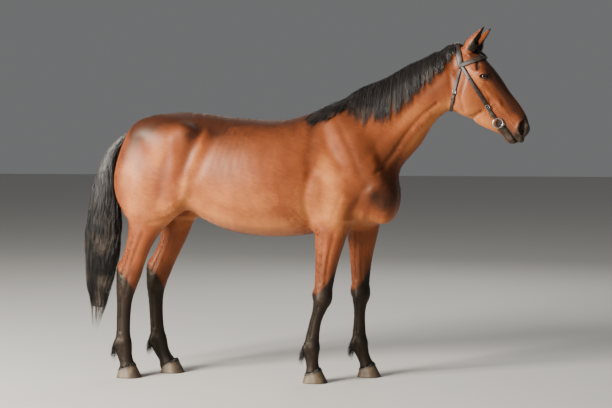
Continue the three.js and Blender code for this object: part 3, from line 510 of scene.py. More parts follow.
def reliefAt(p, n):  # how far the skin rises along its slope n
    x, y, z = p.T
    height = np.zeros(len(p))
    sideways = smooth(.12, .5, np.abs(n[:, 1]))
    for line, width, rise, ownY in strokes:
        a = along2d(p, line, width) * rise * sideways
        if ownY is not None:    # the other legs' strokes stay off this one
            a = a * (np.abs(y - ownY) < .11)
        height += a
    ribs = np.sin((x + .22 * (z - 1.2)) * 2 * math.pi / grooves["ribPitch"])
    height += grooves["rib"] * ribs * sideways * smooth(-.24, -.14, x) * smooth(.31, .22, x) \
        * smooth(.93, 1.02, z) * smooth(1.36, 1.26, z)
    spine = np.exp(-(y / .012) ** 2) * smooth(-.66, -.5, x) * smooth(.2, 0, x) * smooth(.7, .9, n[:, 2])
    breast = np.exp(-(y / .010) ** 2) * smooth(.66, .72, x) * smooth(.4, .8, n[:, 0]) * smooth(1.28, 1.18, z)
    chin = np.exp(-(y / .010) ** 2) * smooth(1.18, 1.24, x) * smooth(1.43, 1.38, x) * smooth(-.2, -.6, n[:, 2])
    return height - grooves["spine"] * spine - grooves["breast"] * breast - grooves["chin"] * chin


# One skin: nets of quads over the flesh at three finenesses, laced together and settled on it.
skinPlan = {
    "bodyStep": .0088, "headStep": .0035, "legStep": .0054, "fineStep": .0023, "earStep": .0026,
    "neckCut": 1.000, "legCut": .790,   # where the nets meet, along x and up
    "back": -.8528, "aside": .330, "top": 1.960,                        # where the body's net ends
    "nose": 1.590, "headAside": .150, "jaw": 1.350, "earTop": 2.055,    # where the head's net ends
    "foot": .010, "legAside": .095, "legReach": {"fore": .125, "hind": .135},
    "fineX": [(1.288, 1.348), (1.500, 1.566)], "fineZ": [(1.733, 1.779), (1.440, 1.515)],   # eyes and nostrils
    "earX": (1.205, 1.362), "earZ": (1.900, 2.040),
    "smallestRim": 20,
}
cubeCorners = [(a, b, c) for a in (0, 1) for b in (0, 1) for c in (0, 1)]


def ticks(low, high, step, fine=()):  # steps along one axis, finer in the parts (from, to, step) of fine
    out, at = [low], low
    while at < high - step * .3:
        at += next((s for a, b, s in fine if a <= at < b), step)
        out.append(at)
    return np.array(out, np.float32)


def shifted(grid, corner):
    return grid[tuple(slice(a, a + n - 1) for a, n in zip(corner, grid.shape))]


# Reads the field coarsely first, then at every tick near the surface. Each cell that it crosses gets a point.
def netOver(body, xs, ys, zs, level, coarse=4, margin=.034):
    size = (len(xs), len(ys), len(zs))
    value = np.full(size, .5, np.float32)
    pick = [np.unique(np.append(np.arange(0, n, coarse), n - 1)) for n in size]
    probe = np.stack(np.meshgrid(xs[pick[0]], ys[pick[1]], zs[pick[2]], indexing="ij"), -1).reshape(-1, 3)
    rough = body.field(probe).reshape([len(k) for k in pick]) - level
    corners = np.stack([shifted(rough, corner) for corner in cubeCorners])
    low, high = corners.min(0), corners.max(0)
    wanted = np.zeros(size, bool)
    for grid, cells, filling in ((value, high <= -margin, -.5), (wanted, (low < margin) & (high > -margin), True)):
        for cell in np.argwhere(cells):
            grid[tuple(slice(k[i], k[i + 1] + 1) for k, i in zip(pick, cell))] = filling
    at = np.argwhere(wanted)
    value[wanted] = body.field(np.stack([xs[at[:, 0]], ys[at[:, 1]], zs[at[:, 2]]], -1)) - level
    inside = value < 0
    count = sum(shifted(inside, corner).astype(np.int8) for corner in cubeCorners)
    cells = np.argwhere((count > 0) & (count < 8))
    number = -np.ones(count.shape, np.int64)
    number[tuple(cells.T)] = np.arange(len(cells))
    total, hits = np.zeros((len(cells), 3)), np.zeros(len(cells))
    for corner in cubeCorners:  # a cell's point is the middle of where the surface cuts its edges
        for axis in range(3):
            if corner[axis]:
                continue
            other = list(corner)
            other[axis] = 1
            i, j = cells + corner, cells + other
            f, g = value[tuple(i.T)], value[tuple(j.T)]
            cross = (f < 0) != (g < 0)
            t = (f[cross] / (f[cross] - g[cross]))[:, None]
            i, j = i[cross], j[cross]
            p = np.stack([xs[i[:, 0]], ys[i[:, 1]], zs[i[:, 2]]], -1)
            q = np.stack([xs[j[:, 0]], ys[j[:, 1]], zs[j[:, 2]]], -1)
            total[cross] += p + (q - p) * t
            hits[cross] += 1
    faces = []
    for axis in range(3):       # and the four cells round each cut edge make a quad
        b, c = (axis + 1) % 3, (axis + 2) % 3
        first, second = [slice(None)] * 3, [slice(None)] * 3
        first[axis], second[axis] = slice(0, -1), slice(1, None)
        here, there = inside[tuple(first)], inside[tuple(second)]
        e = np.argwhere(here != there)
        e = e[(e[:, b] > 0) & (e[:, c] > 0) & (e[:, b] < count.shape[b]) & (e[:, c] < count.shape[c])]
        quad = []
        for db, dc in ((-1, -1), (0, -1), (0, 0), (-1, 0)):
            q = e.copy()
            q[:, b] += db
            q[:, c] += dc
            quad.append(number[tuple(q.T)])
        quad = np.stack(quad, -1)
        turned = ~here[tuple(e.T)]
        quad[turned] = quad[turned][:, ::-1]
        faces.append(quad)
    return total / hits[:, None], np.vstack(faces)


def openRims(faces):  # the closed rings of edges that only one face uses
    edges = np.vstack([faces[:, [i, (i + 1) % 4]] for i in range(4)])
    span = edges.max() + 1
    lone = edges[~np.isin(edges[:, 0] * span + edges[:, 1], edges[:, 1] * span + edges[:, 0])]
    after = dict(map(tuple, lone.tolist()))
    rings = []
    while after:
        first, at = next(iter(after.items()))
        del after[first]
        ring = [first]
        while at != first and at in after:
            ring.append(at)
            at = after.pop(at)
        rings.append(ring)
    return rings


def lace(points, ringA, ringB):  # triangles between two facing rims
    ringB = ringB[::-1]
    near = np.argmin(np.linalg.norm(points[ringB] - points[ringA[0]], axis=1))
    ringB = ringB[near:] + ringB[:near]
    a, b = points[ringA + ringA[:1]], points[ringB + ringB[:1]]
    i, j, made = 0, 0, []
    while i < len(ringA) or j < len(ringB):
        p, q = ringA[i % len(ringA)], ringB[j % len(ringB)]
        if i < len(ringA) and (j >= len(ringB)
                               or np.sum((a[i + 1] - b[j]) ** 2) < np.sum((a[i] - b[j + 1]) ** 2)):
            made.append((ringA[(i + 1) % len(ringA)], p, q))
            i += 1
        else:
            made.append((p, q, ringB[(j + 1) % len(ringB)]))
            j += 1
    return made


def buildSkin():
    s, level = skinPlan, -plan["coatDepth"]
    nets = [netOver(flesh, ticks(s["back"], s["neckCut"], s["bodyStep"]), ticks(-s["aside"], s["aside"], s["bodyStep"]),
                    ticks(s["legCut"], s["top"], s["bodyStep"]), level)]
    fineX = [(a, b, s["fineStep"]) for a, b in s["fineX"]] + [(*s["earX"], s["earStep"])]
    fineZ = [(a, b, s["fineStep"]) for a, b in s["fineZ"]] + [(*s["earZ"], s["earStep"])]
    nets.append(netOver(flesh, ticks(s["neckCut"], s["nose"], s["headStep"], fineX),
                        ticks(-s["headAside"], s["headAside"], s["headStep"]),
                        ticks(s["jaw"], s["earTop"], s["headStep"], fineZ), level))
    for leg, spec in legs.items():
        x = [boneAt(leg, z)[0] for z in (s["legCut"], .44, .19, .05)]
        y, half = boneAt(leg, .5)[1], s["legReach"][spec["profile"]]
        nets.append(netOver(flesh, ticks(min(x) - half, max(x) + half, s["legStep"]),
                            ticks(y - s["legAside"], y + s["legAside"], s["legStep"]),
                            ticks(s["foot"], s["legCut"], s["legStep"]), level))
    points, quads, rims, start = [], [], [], 0
    for verts, faces in nets:
        points.append(verts)
        quads.append(faces + start)
        rims.append([[i + start for i in ring] for ring in openRims(faces) if len(ring) > s["smallestRim"]])
        start += len(verts)
    points, quads = np.vstack(points), np.vstack(quads)
    middle = lambda ring: points[ring].mean(0)
    tris = []
    for ring, *_ in rims[1:]:   # head and legs are each laced to the body's nearest rim
        mate = min(rims[0], key=lambda r: np.linalg.norm(middle(r) - middle(ring)))
        tris += lace(points, mate, ring)
    return points, quads, np.array(tris)


def neighbours(count, quads, tris):  # edges both ways, and how many leave each point
    edges = np.vstack([quads[:, [i, (i + 1) % 4]] for i in range(4)] + [tris[:, [i, (i + 1) % 3]] for i in range(3)])
    edges = np.vstack([edges, edges[:, ::-1]])
    return edges, np.maximum(np.bincount(edges[:, 0], minlength=count), 1)[:, None]


def relax(points, amount):  # moves each point towards the mean of its neighbours
    mean = np.stack([np.bincount(edges[:, 0], points[edges[:, 1], k], len(points)) for k in range(3)], 1) / share
    return points + amount * (mean - points)


skinPoints, skinQuads, skinTris = buildSkin()
edges, share = neighbours(len(skinPoints), skinQuads, skinTris)
for _ in range(2):
    skinPoints = flesh.settle(relax(skinPoints, .5), -plan["coatDepth"])
slope = unit(flesh.solve(skinPoints)[1])
skinPoints = skinPoints + slope * reliefAt(skinPoints, slope)[:, None]
skinPoints = relax(skinPoints, .25)
print("skin made", len(skinPoints), "points")


class Value:  # wraps a socket, so that an expression on values adds its Math nodes
    def __init__(self, shader, socket):
        self.shader, self.socket = shader, socket

    def math(self, operation, *values, clamp=False):
        return self.shader.node("ShaderNodeMath", {"operation": operation, "use_clamp": clamp}, *values)

    def __add__(self, other):
        return self.math("ADD", self, other)

    def __sub__(self, other):
        return self.math("SUBTRACT", self, other)

    def __rsub__(self, other):
        return self.math("SUBTRACT", other, self)

    def __mul__(self, other):
        return self.math("MULTIPLY", self, other)

    def __truediv__(self, other):
        return self.math("DIVIDE", self, other)

    def __pow__(self, other):
        return self.math("POWER", self, other)

    __radd__, __rmul__ = __add__, __mul__

    def sine(self):
        return self.math("SINE", self)

    def clamped(self):
        return self.math("ADD", self, 0, clamp=True)

    def between(self, low, high):  # 0 below low, 1 above high, smooth between
        settings = {"data_type": "FLOAT", "interpolation_type": "SMOOTHSTEP"}
        return self.shader.node("ShaderNodeMapRange", settings, self, low, high, 0, 1)


socketNames = {
    "colour": "Base Color", "roughness": "Roughness", "metallic": "Metallic", "normal": "Normal",
    "specular": "Specular IOR Level", "specularTint": "Specular Tint", "gloss": "Coat Weight",
    "glossRough": "Coat Roughness", "sheen": "Sheen Weight", "sheenRough": "Sheen Roughness", "sheenTint": "Sheen Tint",
}
unusedMixSockets = [None] * 5   # between a Mix node's factor and its two colours


class Finish:  # one material, with a method that adds any node
    def __init__(self, name, **constants):
        self.material = bpy.data.materials.new(name)
        self.material.use_nodes = True
        self.nodes, self.links = self.material.node_tree.nodes, self.material.node_tree.links
        self.surface = self.nodes["Principled BSDF"]
        for socket, value in constants.items():
            self.surface.inputs[socketNames[socket]].default_value = value

    def node(self, kind, settings=None, *values, out=0, **named):
        made = self.nodes.new(kind)
        for key, value in (settings or {}).items():
            if key == "stops":
                for i, (at, colour) in enumerate(value):
                    stop = made.color_ramp.elements[i] if i < 2 else made.color_ramp.elements.new(at)
                    stop.position, stop.color = at, colour
            else:
                setattr(made, key, value)
        for key, value in [*enumerate(values), *named.items()]:
            if isinstance(value, Value):
                self.links.new(value.socket, made.inputs[key])
            elif value is not None:
                made.inputs[key].default_value = value
        return Value(self, made.outputs[out])

    def mark(self, name):
        return self.node("ShaderNodeAttribute", {"attribute_name": name}, out="Fac")

    def place(self, turn=(0, 0, 0), scale=(1, 1, 1)):
        where = self.node("ShaderNodeTexCoord", out="Object")
        return self.node("ShaderNodeMapping", {}, where, (0, 0, 0), turn, scale)

    def noise(self, where, scale, detail=2, rough=.5):
        return self.node("ShaderNodeTexNoise", {}, Vector=where, Scale=scale, Detail=detail, Roughness=rough)

    def mix(self, factor, a, b):  # from colour a to colour b
        return self.node("ShaderNodeMix", {"data_type": "RGBA"}, factor, *unusedMixSockets, a, b, out=2)

    def bump(self, height, strength, distance):
        return self.node("ShaderNodeBump", {}, Height=height, Strength=strength, Distance=distance)

    def feed(self, **values):
        for key, value in values.items():
            self.links.new(value.socket, self.surface.inputs[socketNames[key]])
        return self.material


def tint(red, green, blue):  # a screen colour as the light it stands for
    return tuple((v / 255 / 12.92 if v < 10 else ((v / 255 + .055) / 1.055) ** 2.4) for v in (red, green, blue)) + (1,)


coatPlan = {
    "deep": tint(60, 29, 17), "bay": tint(131, 66, 33), "gold": tint(202, 127, 68),
    "black": tint(15, 12, 12), "rustyBlack": tint(44, 29, 22), "bare": tint(54, 43, 38), "pinkGrey": tint(106, 86, 70),
    "specularTint": (1, .82, .62, 1), "sheenTint": (1, .80, .58, 1),
    "turns": {"body": -.36, "nape": -.75, "head": .98, "limbs": math.pi / 2},   # the lie of the hair, in radians
    "fine": 620, "coarse": 210,     # hairs and locks of hair to the metre
}


def coatFinish(name):  # "points" turn it black, painted shade in the nostrils and the parting of the lips included; "bare" turns it to grey hide; and the lighter-or-darker mark, mostly painted highlights and painted shade, makes it lighter or darker
    f = Finish(name, specular=.30, sheen=.04, sheenRough=.4, glossRough=.36,
               specularTint=coatPlan["specularTint"], sheenTint=coatPlan["sheenTint"])
    points, tone, bare = f.mark("points"), f.mark("tone"), f.mark("bare")
    where, turns = f.place(), coatPlan["turns"]
    height = f.node("ShaderNodeSeparateXYZ", {}, where, out="Z")
    ahead = f.node("ShaderNodeSeparateXYZ", {}, where, out="X")
    limbs, head = 1 - height.between(.84, .98), ahead.between(.88, .98)
    nape = ahead.between(.30, .55) * height.between(1.2, 1.4) * (1 - head)

    def streaks(scale):  # noise drawn out along the hair, turned for each region
        total = 0
        for region, share in (("body", (1 - nape) * (1 - head) * (1 - limbs)), ("nape", nape), ("head", head),
                              ("limbs", limbs * (1 - head))):
            along = f.node("ShaderNodeVectorMath", {"operation": "MULTIPLY"}, f.place((0, turns[region], 0)),
                           (scale * .07, scale, scale))
            total = f.noise(along, 1, 2) * share + total
        return total

    fine, coarse = streaks(coatPlan["fine"]), streaks(coatPlan["coarse"])
    patches, cloud = f.noise(where, 7, 3, .55), f.noise(where, 2.6, 2)
    # the marks' painted highlights and shade, with random patches, set how light the coat is
    shade = (tone * .5 + .5 + (patches - .5) * .34 + (cloud - .5) * .26 + (coarse - .5) * .10).clamped()
    coat = f.node("ShaderNodeValToRGB", {"stops": [
        (0, coatPlan["deep"]), (.22, coatPlan["deep"]), (.54, coatPlan["bay"]), (.90, coatPlan["gold"])]}, shade)
    border = points * (1 - points) * 4
    edge = points + (coarse - .5) * .5 * border + (patches - .5) * .4 * border
    black = f.mix(patches.between(.40, .75) * .5, coatPlan["black"], coatPlan["rustyBlack"])
    coat = f.mix(edge.between(.30, .70), coat, black)
    hide = f.mix(f.noise(where, 60, 2).between(.45, .7) * .5, coatPlan["bare"], coatPlan["pinkGrey"])
    coat = f.mix(bare * .8, coat, hide)
    coat = f.node("ShaderNodeVectorMath", {"operation": "SCALE"}, coat, Scale=.62 + fine * .42 + coarse * .34)
    rough = .42 + .10 * (patches - .5) + .14 * fine + .12 * bare + .06 * points
    relief = fine * .6 + coarse * .4 + f.noise(where, 900, 1) * bare * .6
    return f.feed(colour=coat, roughness=rough, gloss=.08 - points * .07, normal=f.bump(relief, .32, .0010))


def hairFinish(name, under, over, tips):
    f = Finish(name, specular=.50, gloss=.08, glossRough=.34, sheen=.04)
    where, along, each = f.place(), f.mark("along"), f.mark("own")
    strand = f.noise(f.place(scale=(260, 260, 14)), 1, 2)
    # the lighter colour hair by hair and the lighter ends are partly faded hair and partly painted sheen
    colour = f.mix(each.between(.55, 1) * .8, under, over)
    colour = f.mix(along.between(.45, 1) * f.noise(where, 9, 2).between(.4, .7), colour, tips)
    colour = f.mix(strand.between(.3, .75), f.mix(.45, colour, (0, 0, 0, 1)), colour)
    return f.feed(colour=colour, roughness=.30 + .14 * strand, normal=f.bump(strand, .35, .001))


def hornFinish():
    f = Finish("hoofHorn", specular=.4, gloss=.05, glossRough=.4)
    up, toe = f.mark("up"), f.mark("toe")
    rings = f.noise(f.node("ShaderNodeCombineXYZ", {}, 0., 0., up), 34, 2, .6)
    fibre = f.noise(f.place(scale=(420, 420, 30)), 1, 2)
    stain = f.noise(f.place(), 24, 3)
    horn = f.mix(stain.between(.35, .7), tint(112, 95, 74), tint(82, 67, 51))
    horn = f.mix(rings.between(.45, .62) * .45, horn, tint(64, 51, 39))
    horn = f.mix(up.between(.80, 1.0) * .8, horn, tint(48, 38, 32))
    horn = f.mix((1 - up.between(0, .18)) * .55, horn, tint(72, 58, 43))
    horn = f.mix(toe.between(.5, 1) * stain.between(.2, .6) * .7, horn, tint(52, 44, 38))
    return f.feed(colour=horn, roughness=.45 + .2 * fibre, normal=f.bump(rings * .6 + fibre * .4, .5, .0015))


eyeSizes = {"pupilHalf": .0105, "pupilTall": .0052, "iris": .0185}     # a horse's pupil lies on its side


def eyeFinish():
    f = Finish("eyeBall", roughness=.05, specular=.35, gloss=.25, glossRough=.02)
    across, high = f.mark("across"), f.mark("high")
    pupil = 1 - ((across / eyeSizes["pupilHalf"]) ** 2 + (high / eyeSizes["pupilTall"]) ** 2).between(.75, 1.15)
    iris = (across ** 2 + high ** 2) ** .5 / eyeSizes["iris"]
    fibres = f.noise(f.place(), 900, 3)
    brown = f.mix(fibres.between(.35, .7), tint(34, 19, 14), tint(60, 36, 24))
    brown = f.mix(iris.between(.75, 1.0), brown, tint(18, 11, 9))
    white = f.mix(f.noise(f.place(), 300, 3).between(.4, .7), tint(24, 17, 15), tint(44, 34, 30))
    ball = f.mix(iris.between(1.0, 1.12), brown, white)
    return f.feed(colour=f.mix(pupil, ball, tint(5, 5, 7)))


stitchesPerMetre = 240


def leatherFinish():
    f = Finish("bridleLeather", specular=.5, gloss=.12, glossRough=.3)
    u, v = f.mark("u"), f.mark("v")
    grain = f.node("ShaderNodeTexVoronoi", {"feature": "F1"}, Vector=f.place(), Scale=900., out="Distance")
    wear = f.noise(f.place(), 60, 3)
    edge = ((v * 2 - 1) ** 2).between(.55, .98)
    leather = f.mix(wear.between(.35, .75), tint(30, 22, 19), tint(58, 44, 37))
    leather = f.mix(edge * .7, leather, tint(16, 12, 11))
    line = (((v * 2 - 1) ** 2) ** .5 - .70) / .07
    stitches = u * (stitchesPerMetre * 2 * math.pi)
    seam = (1 - (line ** 2).between(.4, 1.)) * stitches.sine().between(-.2, .2)
    leather = f.mix(seam * .8, leather, tint(104, 92, 78))
    return f.feed(colour=leather, roughness=.36 + .25 * wear,
                  normal=f.bump(grain * .5 + seam * .9 - edge * .4, .5, .0008))


def steelFinish():
    f = Finish("bitSteel", metallic=1., specular=.5)
    wear = f.noise(f.place(), 180, 3)
    steel = f.mix(wear.between(.3, .8), tint(208, 208, 204), tint(150, 150, 150))
    return f.feed(colour=steel, roughness=.16 + .22 * wear, normal=f.bump(wear, .15, .0005))


# Colour masks, the lie of the coat and its unwrap are the same for the skin and the hair.
paintedLightAndToneMarks = [  # line as x and z, width, how much lighter (+) or darker (-); most are painted highlights and painted shade
    # darker along the topline: partly the bay's darker topline, partly painted shade on the top of the body
    ([(-.66, 1.46), (-.50, 1.545), (-.33, 1.57), (-.15, 1.54)], .075, -.55),
    ([(-.15, 1.54), (.02, 1.52), (.20, 1.535)], .045, -.30), ([(.30, 1.55), (.42, 1.56), (.52, 1.56)], .07, -.30),
    # painted shade in the hollow of the loin and in the furrow in front of the flank fold
    ([(-.58, 1.46), (-.42, 1.46), (-.30, 1.445), (-.18, 1.45)], .050, -.22),
    ([(-.335, 1.41), (-.35, 1.33), (-.375, 1.22)], .040, -.30),
    # painted highlight in a band down the rump and thigh
    ([(-.47, 1.42), (-.53, 1.33), (-.59, 1.24), (-.64, 1.15), (-.65, 1.02)], .055, .20),
    # painted shade in the furrows behind and in front of the thigh
    ([(-.68, 1.40), (-.74, 1.30)], .05, -.25), ([(-.485, 1.27), (-.51, 1.17), (-.53, 1.08)], .03, -.22),
    # painted highlight on the shoulder above the elbow
    ([(.43, 1.26), (.465, 1.17), (.49, 1.06), (.46, .96)], .055, .46),
    # painted highlight along the ridge under the neck
    ([(1.10, 1.585), (1.01, 1.50), (.935, 1.42), (.865, 1.32)], .026, .34),
    # painted highlight on the middle of the neck, and painted shade on the front of the chest
    ([(.99, 1.60), (.90, 1.52), (.80, 1.42)], .055, .26), ([(.80, 1.36), (.82, 1.24), (.80, 1.08)], .100, -.44),
    # painted shade in the furrow from neck to shoulder and in the crease behind the shoulder blade
    ([(.60, 1.34), (.66, 1.20), (.70, 1.10)], .045, -.15), ([(.35, 1.47), (.345, 1.36), (.34, 1.26)], .036, -.26),
    # painted shade along the front of the shoulder blade, and a painted highlight on the back of the thigh
    ([(.50, 1.46), (.56, 1.34), (.62, 1.22)], .026, -.18), ([(-.70, 1.30), (-.72, 1.16), (-.71, 1.00)], .040, .22),
    # painted highlight along the flank fold
    ([(-.268, 1.44), (-.30, 1.33), (-.352, 1.21), (-.39, 1.08)], .024, .38),
    # painted highlight along the line of the belly
    ([(-.36, 1.03), (-.22, .96), (0, .90), (.2, .89)], .050, .22),
    # painted highlights behind the triceps and on the middle of the barrel
    ([(.30, 1.15), (.33, 1.00), (.36, .93)], .04, .15), ([(-.10, 1.10), (.08, 1.08)], .12, .12),
    # painted highlight on the shoulder, and darker along the top of the barrel, partly the darker topline and partly
    # painted shade
    ([(.42, 1.13), (.44, 1.02)], .07, .12), ([(-.28, 1.43), (0, 1.40), (.24, 1.43)], .085, -.26),
    # painted shade on the neck behind the jaw and under the mane
    ([(1.085, 1.74), (1.05, 1.66), (1.00, 1.60)], .045, -.14), ([(.88, 1.72), (.76, 1.62), (.66, 1.54)], .05, -.22),
    # painted shade low on the breast
    ([(.66, 1.08), (.76, 1.03)], .075, -.42),
    # darker down the front of the face in these two marks, partly the face's darker coat and partly painted shade
    ([(1.24, 1.87), (1.33, 1.82), (1.41, 1.70), (1.48, 1.59), (1.53, 1.52)], .022, -.52),   # nose bone
    ([(1.35, 1.79), (1.385, 1.71), (1.42, 1.64), (1.46, 1.56)], .032, -.38),
    # painted shade in the hollow above the eye
    ([(1.279, 1.835), (1.278, 1.797)], .011, -1.0),
    # painted highlight along the cheekbone arch and the facial crest
    ([(1.215, 1.80), (1.255, 1.765), (1.29, 1.715), (1.33, 1.65)], .016, .36),
    # painted shade under the facial crest, and a painted highlight on the cheek
    ([(1.30, 1.69), (1.345, 1.625)], .010, -.3), ([(1.225, 1.62), (1.26, 1.57)], .05, .10),
    # painted highlight along the jaw, and painted shade on the top of the neck under the mane
    ([(1.28, 1.53), (1.34, 1.49), (1.40, 1.46)], .03, .22), ([(.62, 1.62), (.80, 1.73), (1.0, 1.82)], .06, -.35),
    # painted shade on the neck behind the jaw
    ([(.95, 1.62), (1.08, 1.70)], .05, -.12),
]


lipLine = [(1.402, 1.484), (1.435, 1.442), (1.462, 1.405), (1.492, 1.378)], .036
# painted shade: the parting of the lips and the inside of the nostrils are painted black
mouthShadeLine = [(1.416, 1.491), (1.443, 1.459), (1.467, 1.430), (1.491, 1.396), (1.514, 1.372)], .0024
nostrilShade = (1.533, .040, 1.464), (.015, .013, .034)


def masksAt(p, n):
    x, y, z = p.T
    tone = np.zeros(len(p))
    for line, width, amount in paintedLightAndToneMarks:
        tone += along2d(p, line, width) * amount
    # lighter where the skin faces down low on the body, partly the paler belly and partly painted light from below;
    # darker where it faces up high on the body, partly the darker topline and partly painted shade
    tone += .25 * smooth(.3, -.8, n[:, 2]) * smooth(.8, .95, z) - .26 * smooth(.40, .95, n[:, 2]) * smooth(1.3, 1.5, z)
    fore, hind, front = x > .1, x <= .1, n[:, 0]
    level = np.where(fore, .545 + .105 * np.clip(front, -.3, 1), .585 - .085 * front)
    black = smooth(level + .075, level - .065, z)
    tone -= .45 * smooth(.78, .56, z) * (.6 + .4 * front) * fore + .25 * smooth(.70, .58, z) * hind
    lips = along2d(p, *lipLine)
    muzzle = np.maximum(smooth(1.430, 1.545, x + .60 * (1.46 - z)) * smooth(1.30, 1.40, x), 1.05 * lips)
    # painted shade inside the nostrils and in the parting of the lips
    centre, size = nostrilShade
    paintedNostrilShade = smooth(1.35, .8, np.linalg.norm((np.stack([x, np.abs(y), z], 1) - centre) / size, axis=1))
    paintedGapShade = np.maximum(along2d(p, *mouthShadeLine) * .8, paintedNostrilShade)
    rim = sum(np.exp(-(np.linalg.norm((p - eyes[s]) * [.90, 1, 1.15], axis=1) / .0285) ** 4) for s in (-1, 1))
    ear = np.zeros(len(p))
    for s in (-1, 1):
        a, u, v, r = ears[s].place(p)
        near = (a > .02) & (np.abs(y - s * .06) < .045) & (z > 1.88) & (a < 1.2)
        ear += near * (smooth(-.10, .16, u / r) + smooth(.70, .95, a) + smooth(.0, .4, n @ ears[s].open))
    crest = np.exp(-(y / .036) ** 4) * smooth(.34, .40, x) * smooth(1.30, 1.24, x) \
        * smooth(.0, .5, n[:, 2]) * smooth(1.5, 1.6, z)
    dock = np.exp(-(((x + .705) / .05) ** 2 + (y / .035) ** 2 + ((z - 1.44) / .05) ** 2)) * .9
    # the black points, with the painted shade of the nostrils and the lips' parting added
    points = np.clip(black + ear + crest + dock + .86 * muzzle + .95 * rim + paintedGapShade, 0, 1)
    bare = np.maximum(smooth(1.465, 1.545, x + .50 * (1.46 - z)) * smooth(1.20, 1.3, x), .85 * lips) + .5 * rim - paintedGapShade
    return {"points": points, "tone": np.clip(tone, -1, 1), "bare": np.clip(bare, 0, 1)}


def lieAt(p, n):  # which way the hair lies
    x, y, z = p.T
    head, neck = smooth(1.14, 1.24, x), smooth(.55, .85, x) * smooth(1.15, 1.35, z)
    limbs = smooth(.98, .84, z)
    way = np.array([-1, 0, -.38]) + (neck * (1 - head))[:, None] * np.array([.2, 0, -.45])
    way = way * (1 - head[:, None]) + head[:, None] * np.array([.55, 0, -.83])
    way = way * (1 - limbs[:, None]) + limbs[:, None] * np.array([-.05, 0, -1])
    breast = smooth(.3, .6, x)[:, None] * smooth(.7, 1.1, n[:, 0] + .4)[:, None]
    way = way + breast * np.array([.2, 0, -.9]) * (1 - head)[:, None]
    return unit(way - dot(way, n)[:, None] * n)


neckAxis = [(.55, 1.34), (.75, 1.47), (.95, 1.61), (1.13, 1.73), (1.24, 1.72), (1.34, 1.63), (1.44, 1.52), (1.56, 1.42)]


def unwrapAt(p):  # rolls each part of the skin flat round its own axis, each into its own strip
    x, y, z = p.T
    uv = np.zeros((len(p), 2))
    front = (x + .9 * z > 2.02) & (x > .5)
    low = (z < .86) & ~front
    trunk = ~front & ~low
    turn = np.arctan2(y, z - 1.18) / (2 * math.pi) + .5
    uv[trunk] = np.stack([.01 + .44 * turn, .02 + .96 * (x + .85) / 1.75], 1)[trunk]
    axis = np.array(neckAxis)
    gone = np.concatenate([[0], np.cumsum(np.linalg.norm(np.diff(axis, axis=0), axis=1))])
    best, along, height = np.full(len(p), 1e9), np.zeros(len(p)), np.zeros(len(p))
    for i, (a, b) in enumerate(zip(axis[:-1], axis[1:])):
        t = np.clip(((p[:, [0, 2]] - a) @ (b - a)) / ((b - a) @ (b - a)), -.3 * (i == 0), 1)
        off = p[:, [0, 2]] - a - t[:, None] * (b - a)
        d = np.sum(off ** 2, 1)
        near = d < best
        best[near], along[near] = d[near], (gone[i] + t * (gone[i + 1] - gone[i]))[near]
        height[near] = ((off @ np.array([-(b - a)[1], (b - a)[0]])) / np.linalg.norm(b - a))[near]
    turn = np.arctan2(y, height) / (2 * math.pi) + .5
    uv[front] = np.stack([.47 + .26 * turn, .08 + .9 * along / gone[-1]], 1)[front]
    for i, leg in enumerate(legs):
        bone = smoothRows(legs[leg]["bones"], 6)
        bx, by = np.interp(-z, -bone[:, 2], bone[:, 0]), np.interp(-z, -bone[:, 2], bone[:, 1])
        mine = low & (np.hypot(x - bx, y - by) < .16)
        around = np.arctan2(y - by, x - bx) / (2 * math.pi) + .5
        uv[mine] = np.stack([.75 + .06 * i + .052 * around, .02 + .96 * z / .9], 1)[mine]
    return np.clip(uv, .002, .995)


# One object from its points, its quads and triangles, and its marks, which are numbers that its finish reads.
def makePiece(name, points, faces, finish, slot, nodes=(), marks=None, bake=None):
    groups = [np.asarray(f) for f in (faces if isinstance(faces, list) else [faces]) if len(f)]
    corner = np.concatenate([f.ravel() for f in groups]).astype(np.int32)
    sizes = np.concatenate([np.full(len(f), f.shape[1]) for f in groups])
    mesh = bpy.data.meshes.new(name)
    mesh.vertices.add(len(points))
    mesh.vertices.foreach_set("co", (points + shift).astype(np.float32).ravel())
    mesh.loops.add(len(corner))
    mesh.loops.foreach_set("vertex_index", corner)
    mesh.polygons.add(len(sizes))
    mesh.polygons.foreach_set("loop_start", (np.cumsum(sizes) - sizes).astype(np.int32))
    mesh.polygons.foreach_set("use_smooth", np.full(len(sizes), True))
    mesh.update(calc_edges=True)
    for key, values in (marks or {}).items():
        mesh.attributes.new(key, "FLOAT", "POINT").data.foreach_set("value", np.asarray(values, np.float32))
    if bake is not None:
        layer = mesh.uv_layers.new(name="OFBake")
        layer.data.foreach_set("uv", bake[corner].astype(np.float32).ravel())
    mesh.validate()
    piece = bpy.data.objects.new(name, mesh)
    bpy.context.scene.collection.objects.link(piece)
    mesh.materials.append(finish)
    if slot:
        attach(piece, "root")
        if nodes:
            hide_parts(*nodes)
    print(name, len(points), "points")
    return piece


def loft(rings, closedEnds=True):  # rings (k, n, 3) of equal count, each closed, with a point at each end
    k, n, _ = rings.shape
    i, j = np.meshgrid(np.arange(k - 1), np.arange(n), indexing="ij")
    a, b = i * n + j, i * n + (j + 1) % n
    quads = np.stack([a, b, b + n, a + n], -1).reshape(-1, 4)
    points = rings.reshape(-1, 3)
    if not closedEnds:
        return points, [quads]
    points = np.vstack([points, rings[0].mean(0), rings[-1].mean(0)])
    j = np.arange(n)
    first = np.stack([np.full(n, k * n), (j + 1) % n, j], -1)
    last = np.stack([np.full(n, k * n + 1), (k - 1) * n + j, (k - 1) * n + (j + 1) % n], -1)
    return points, [quads, np.vstack([first, last])]


hairSides = 3


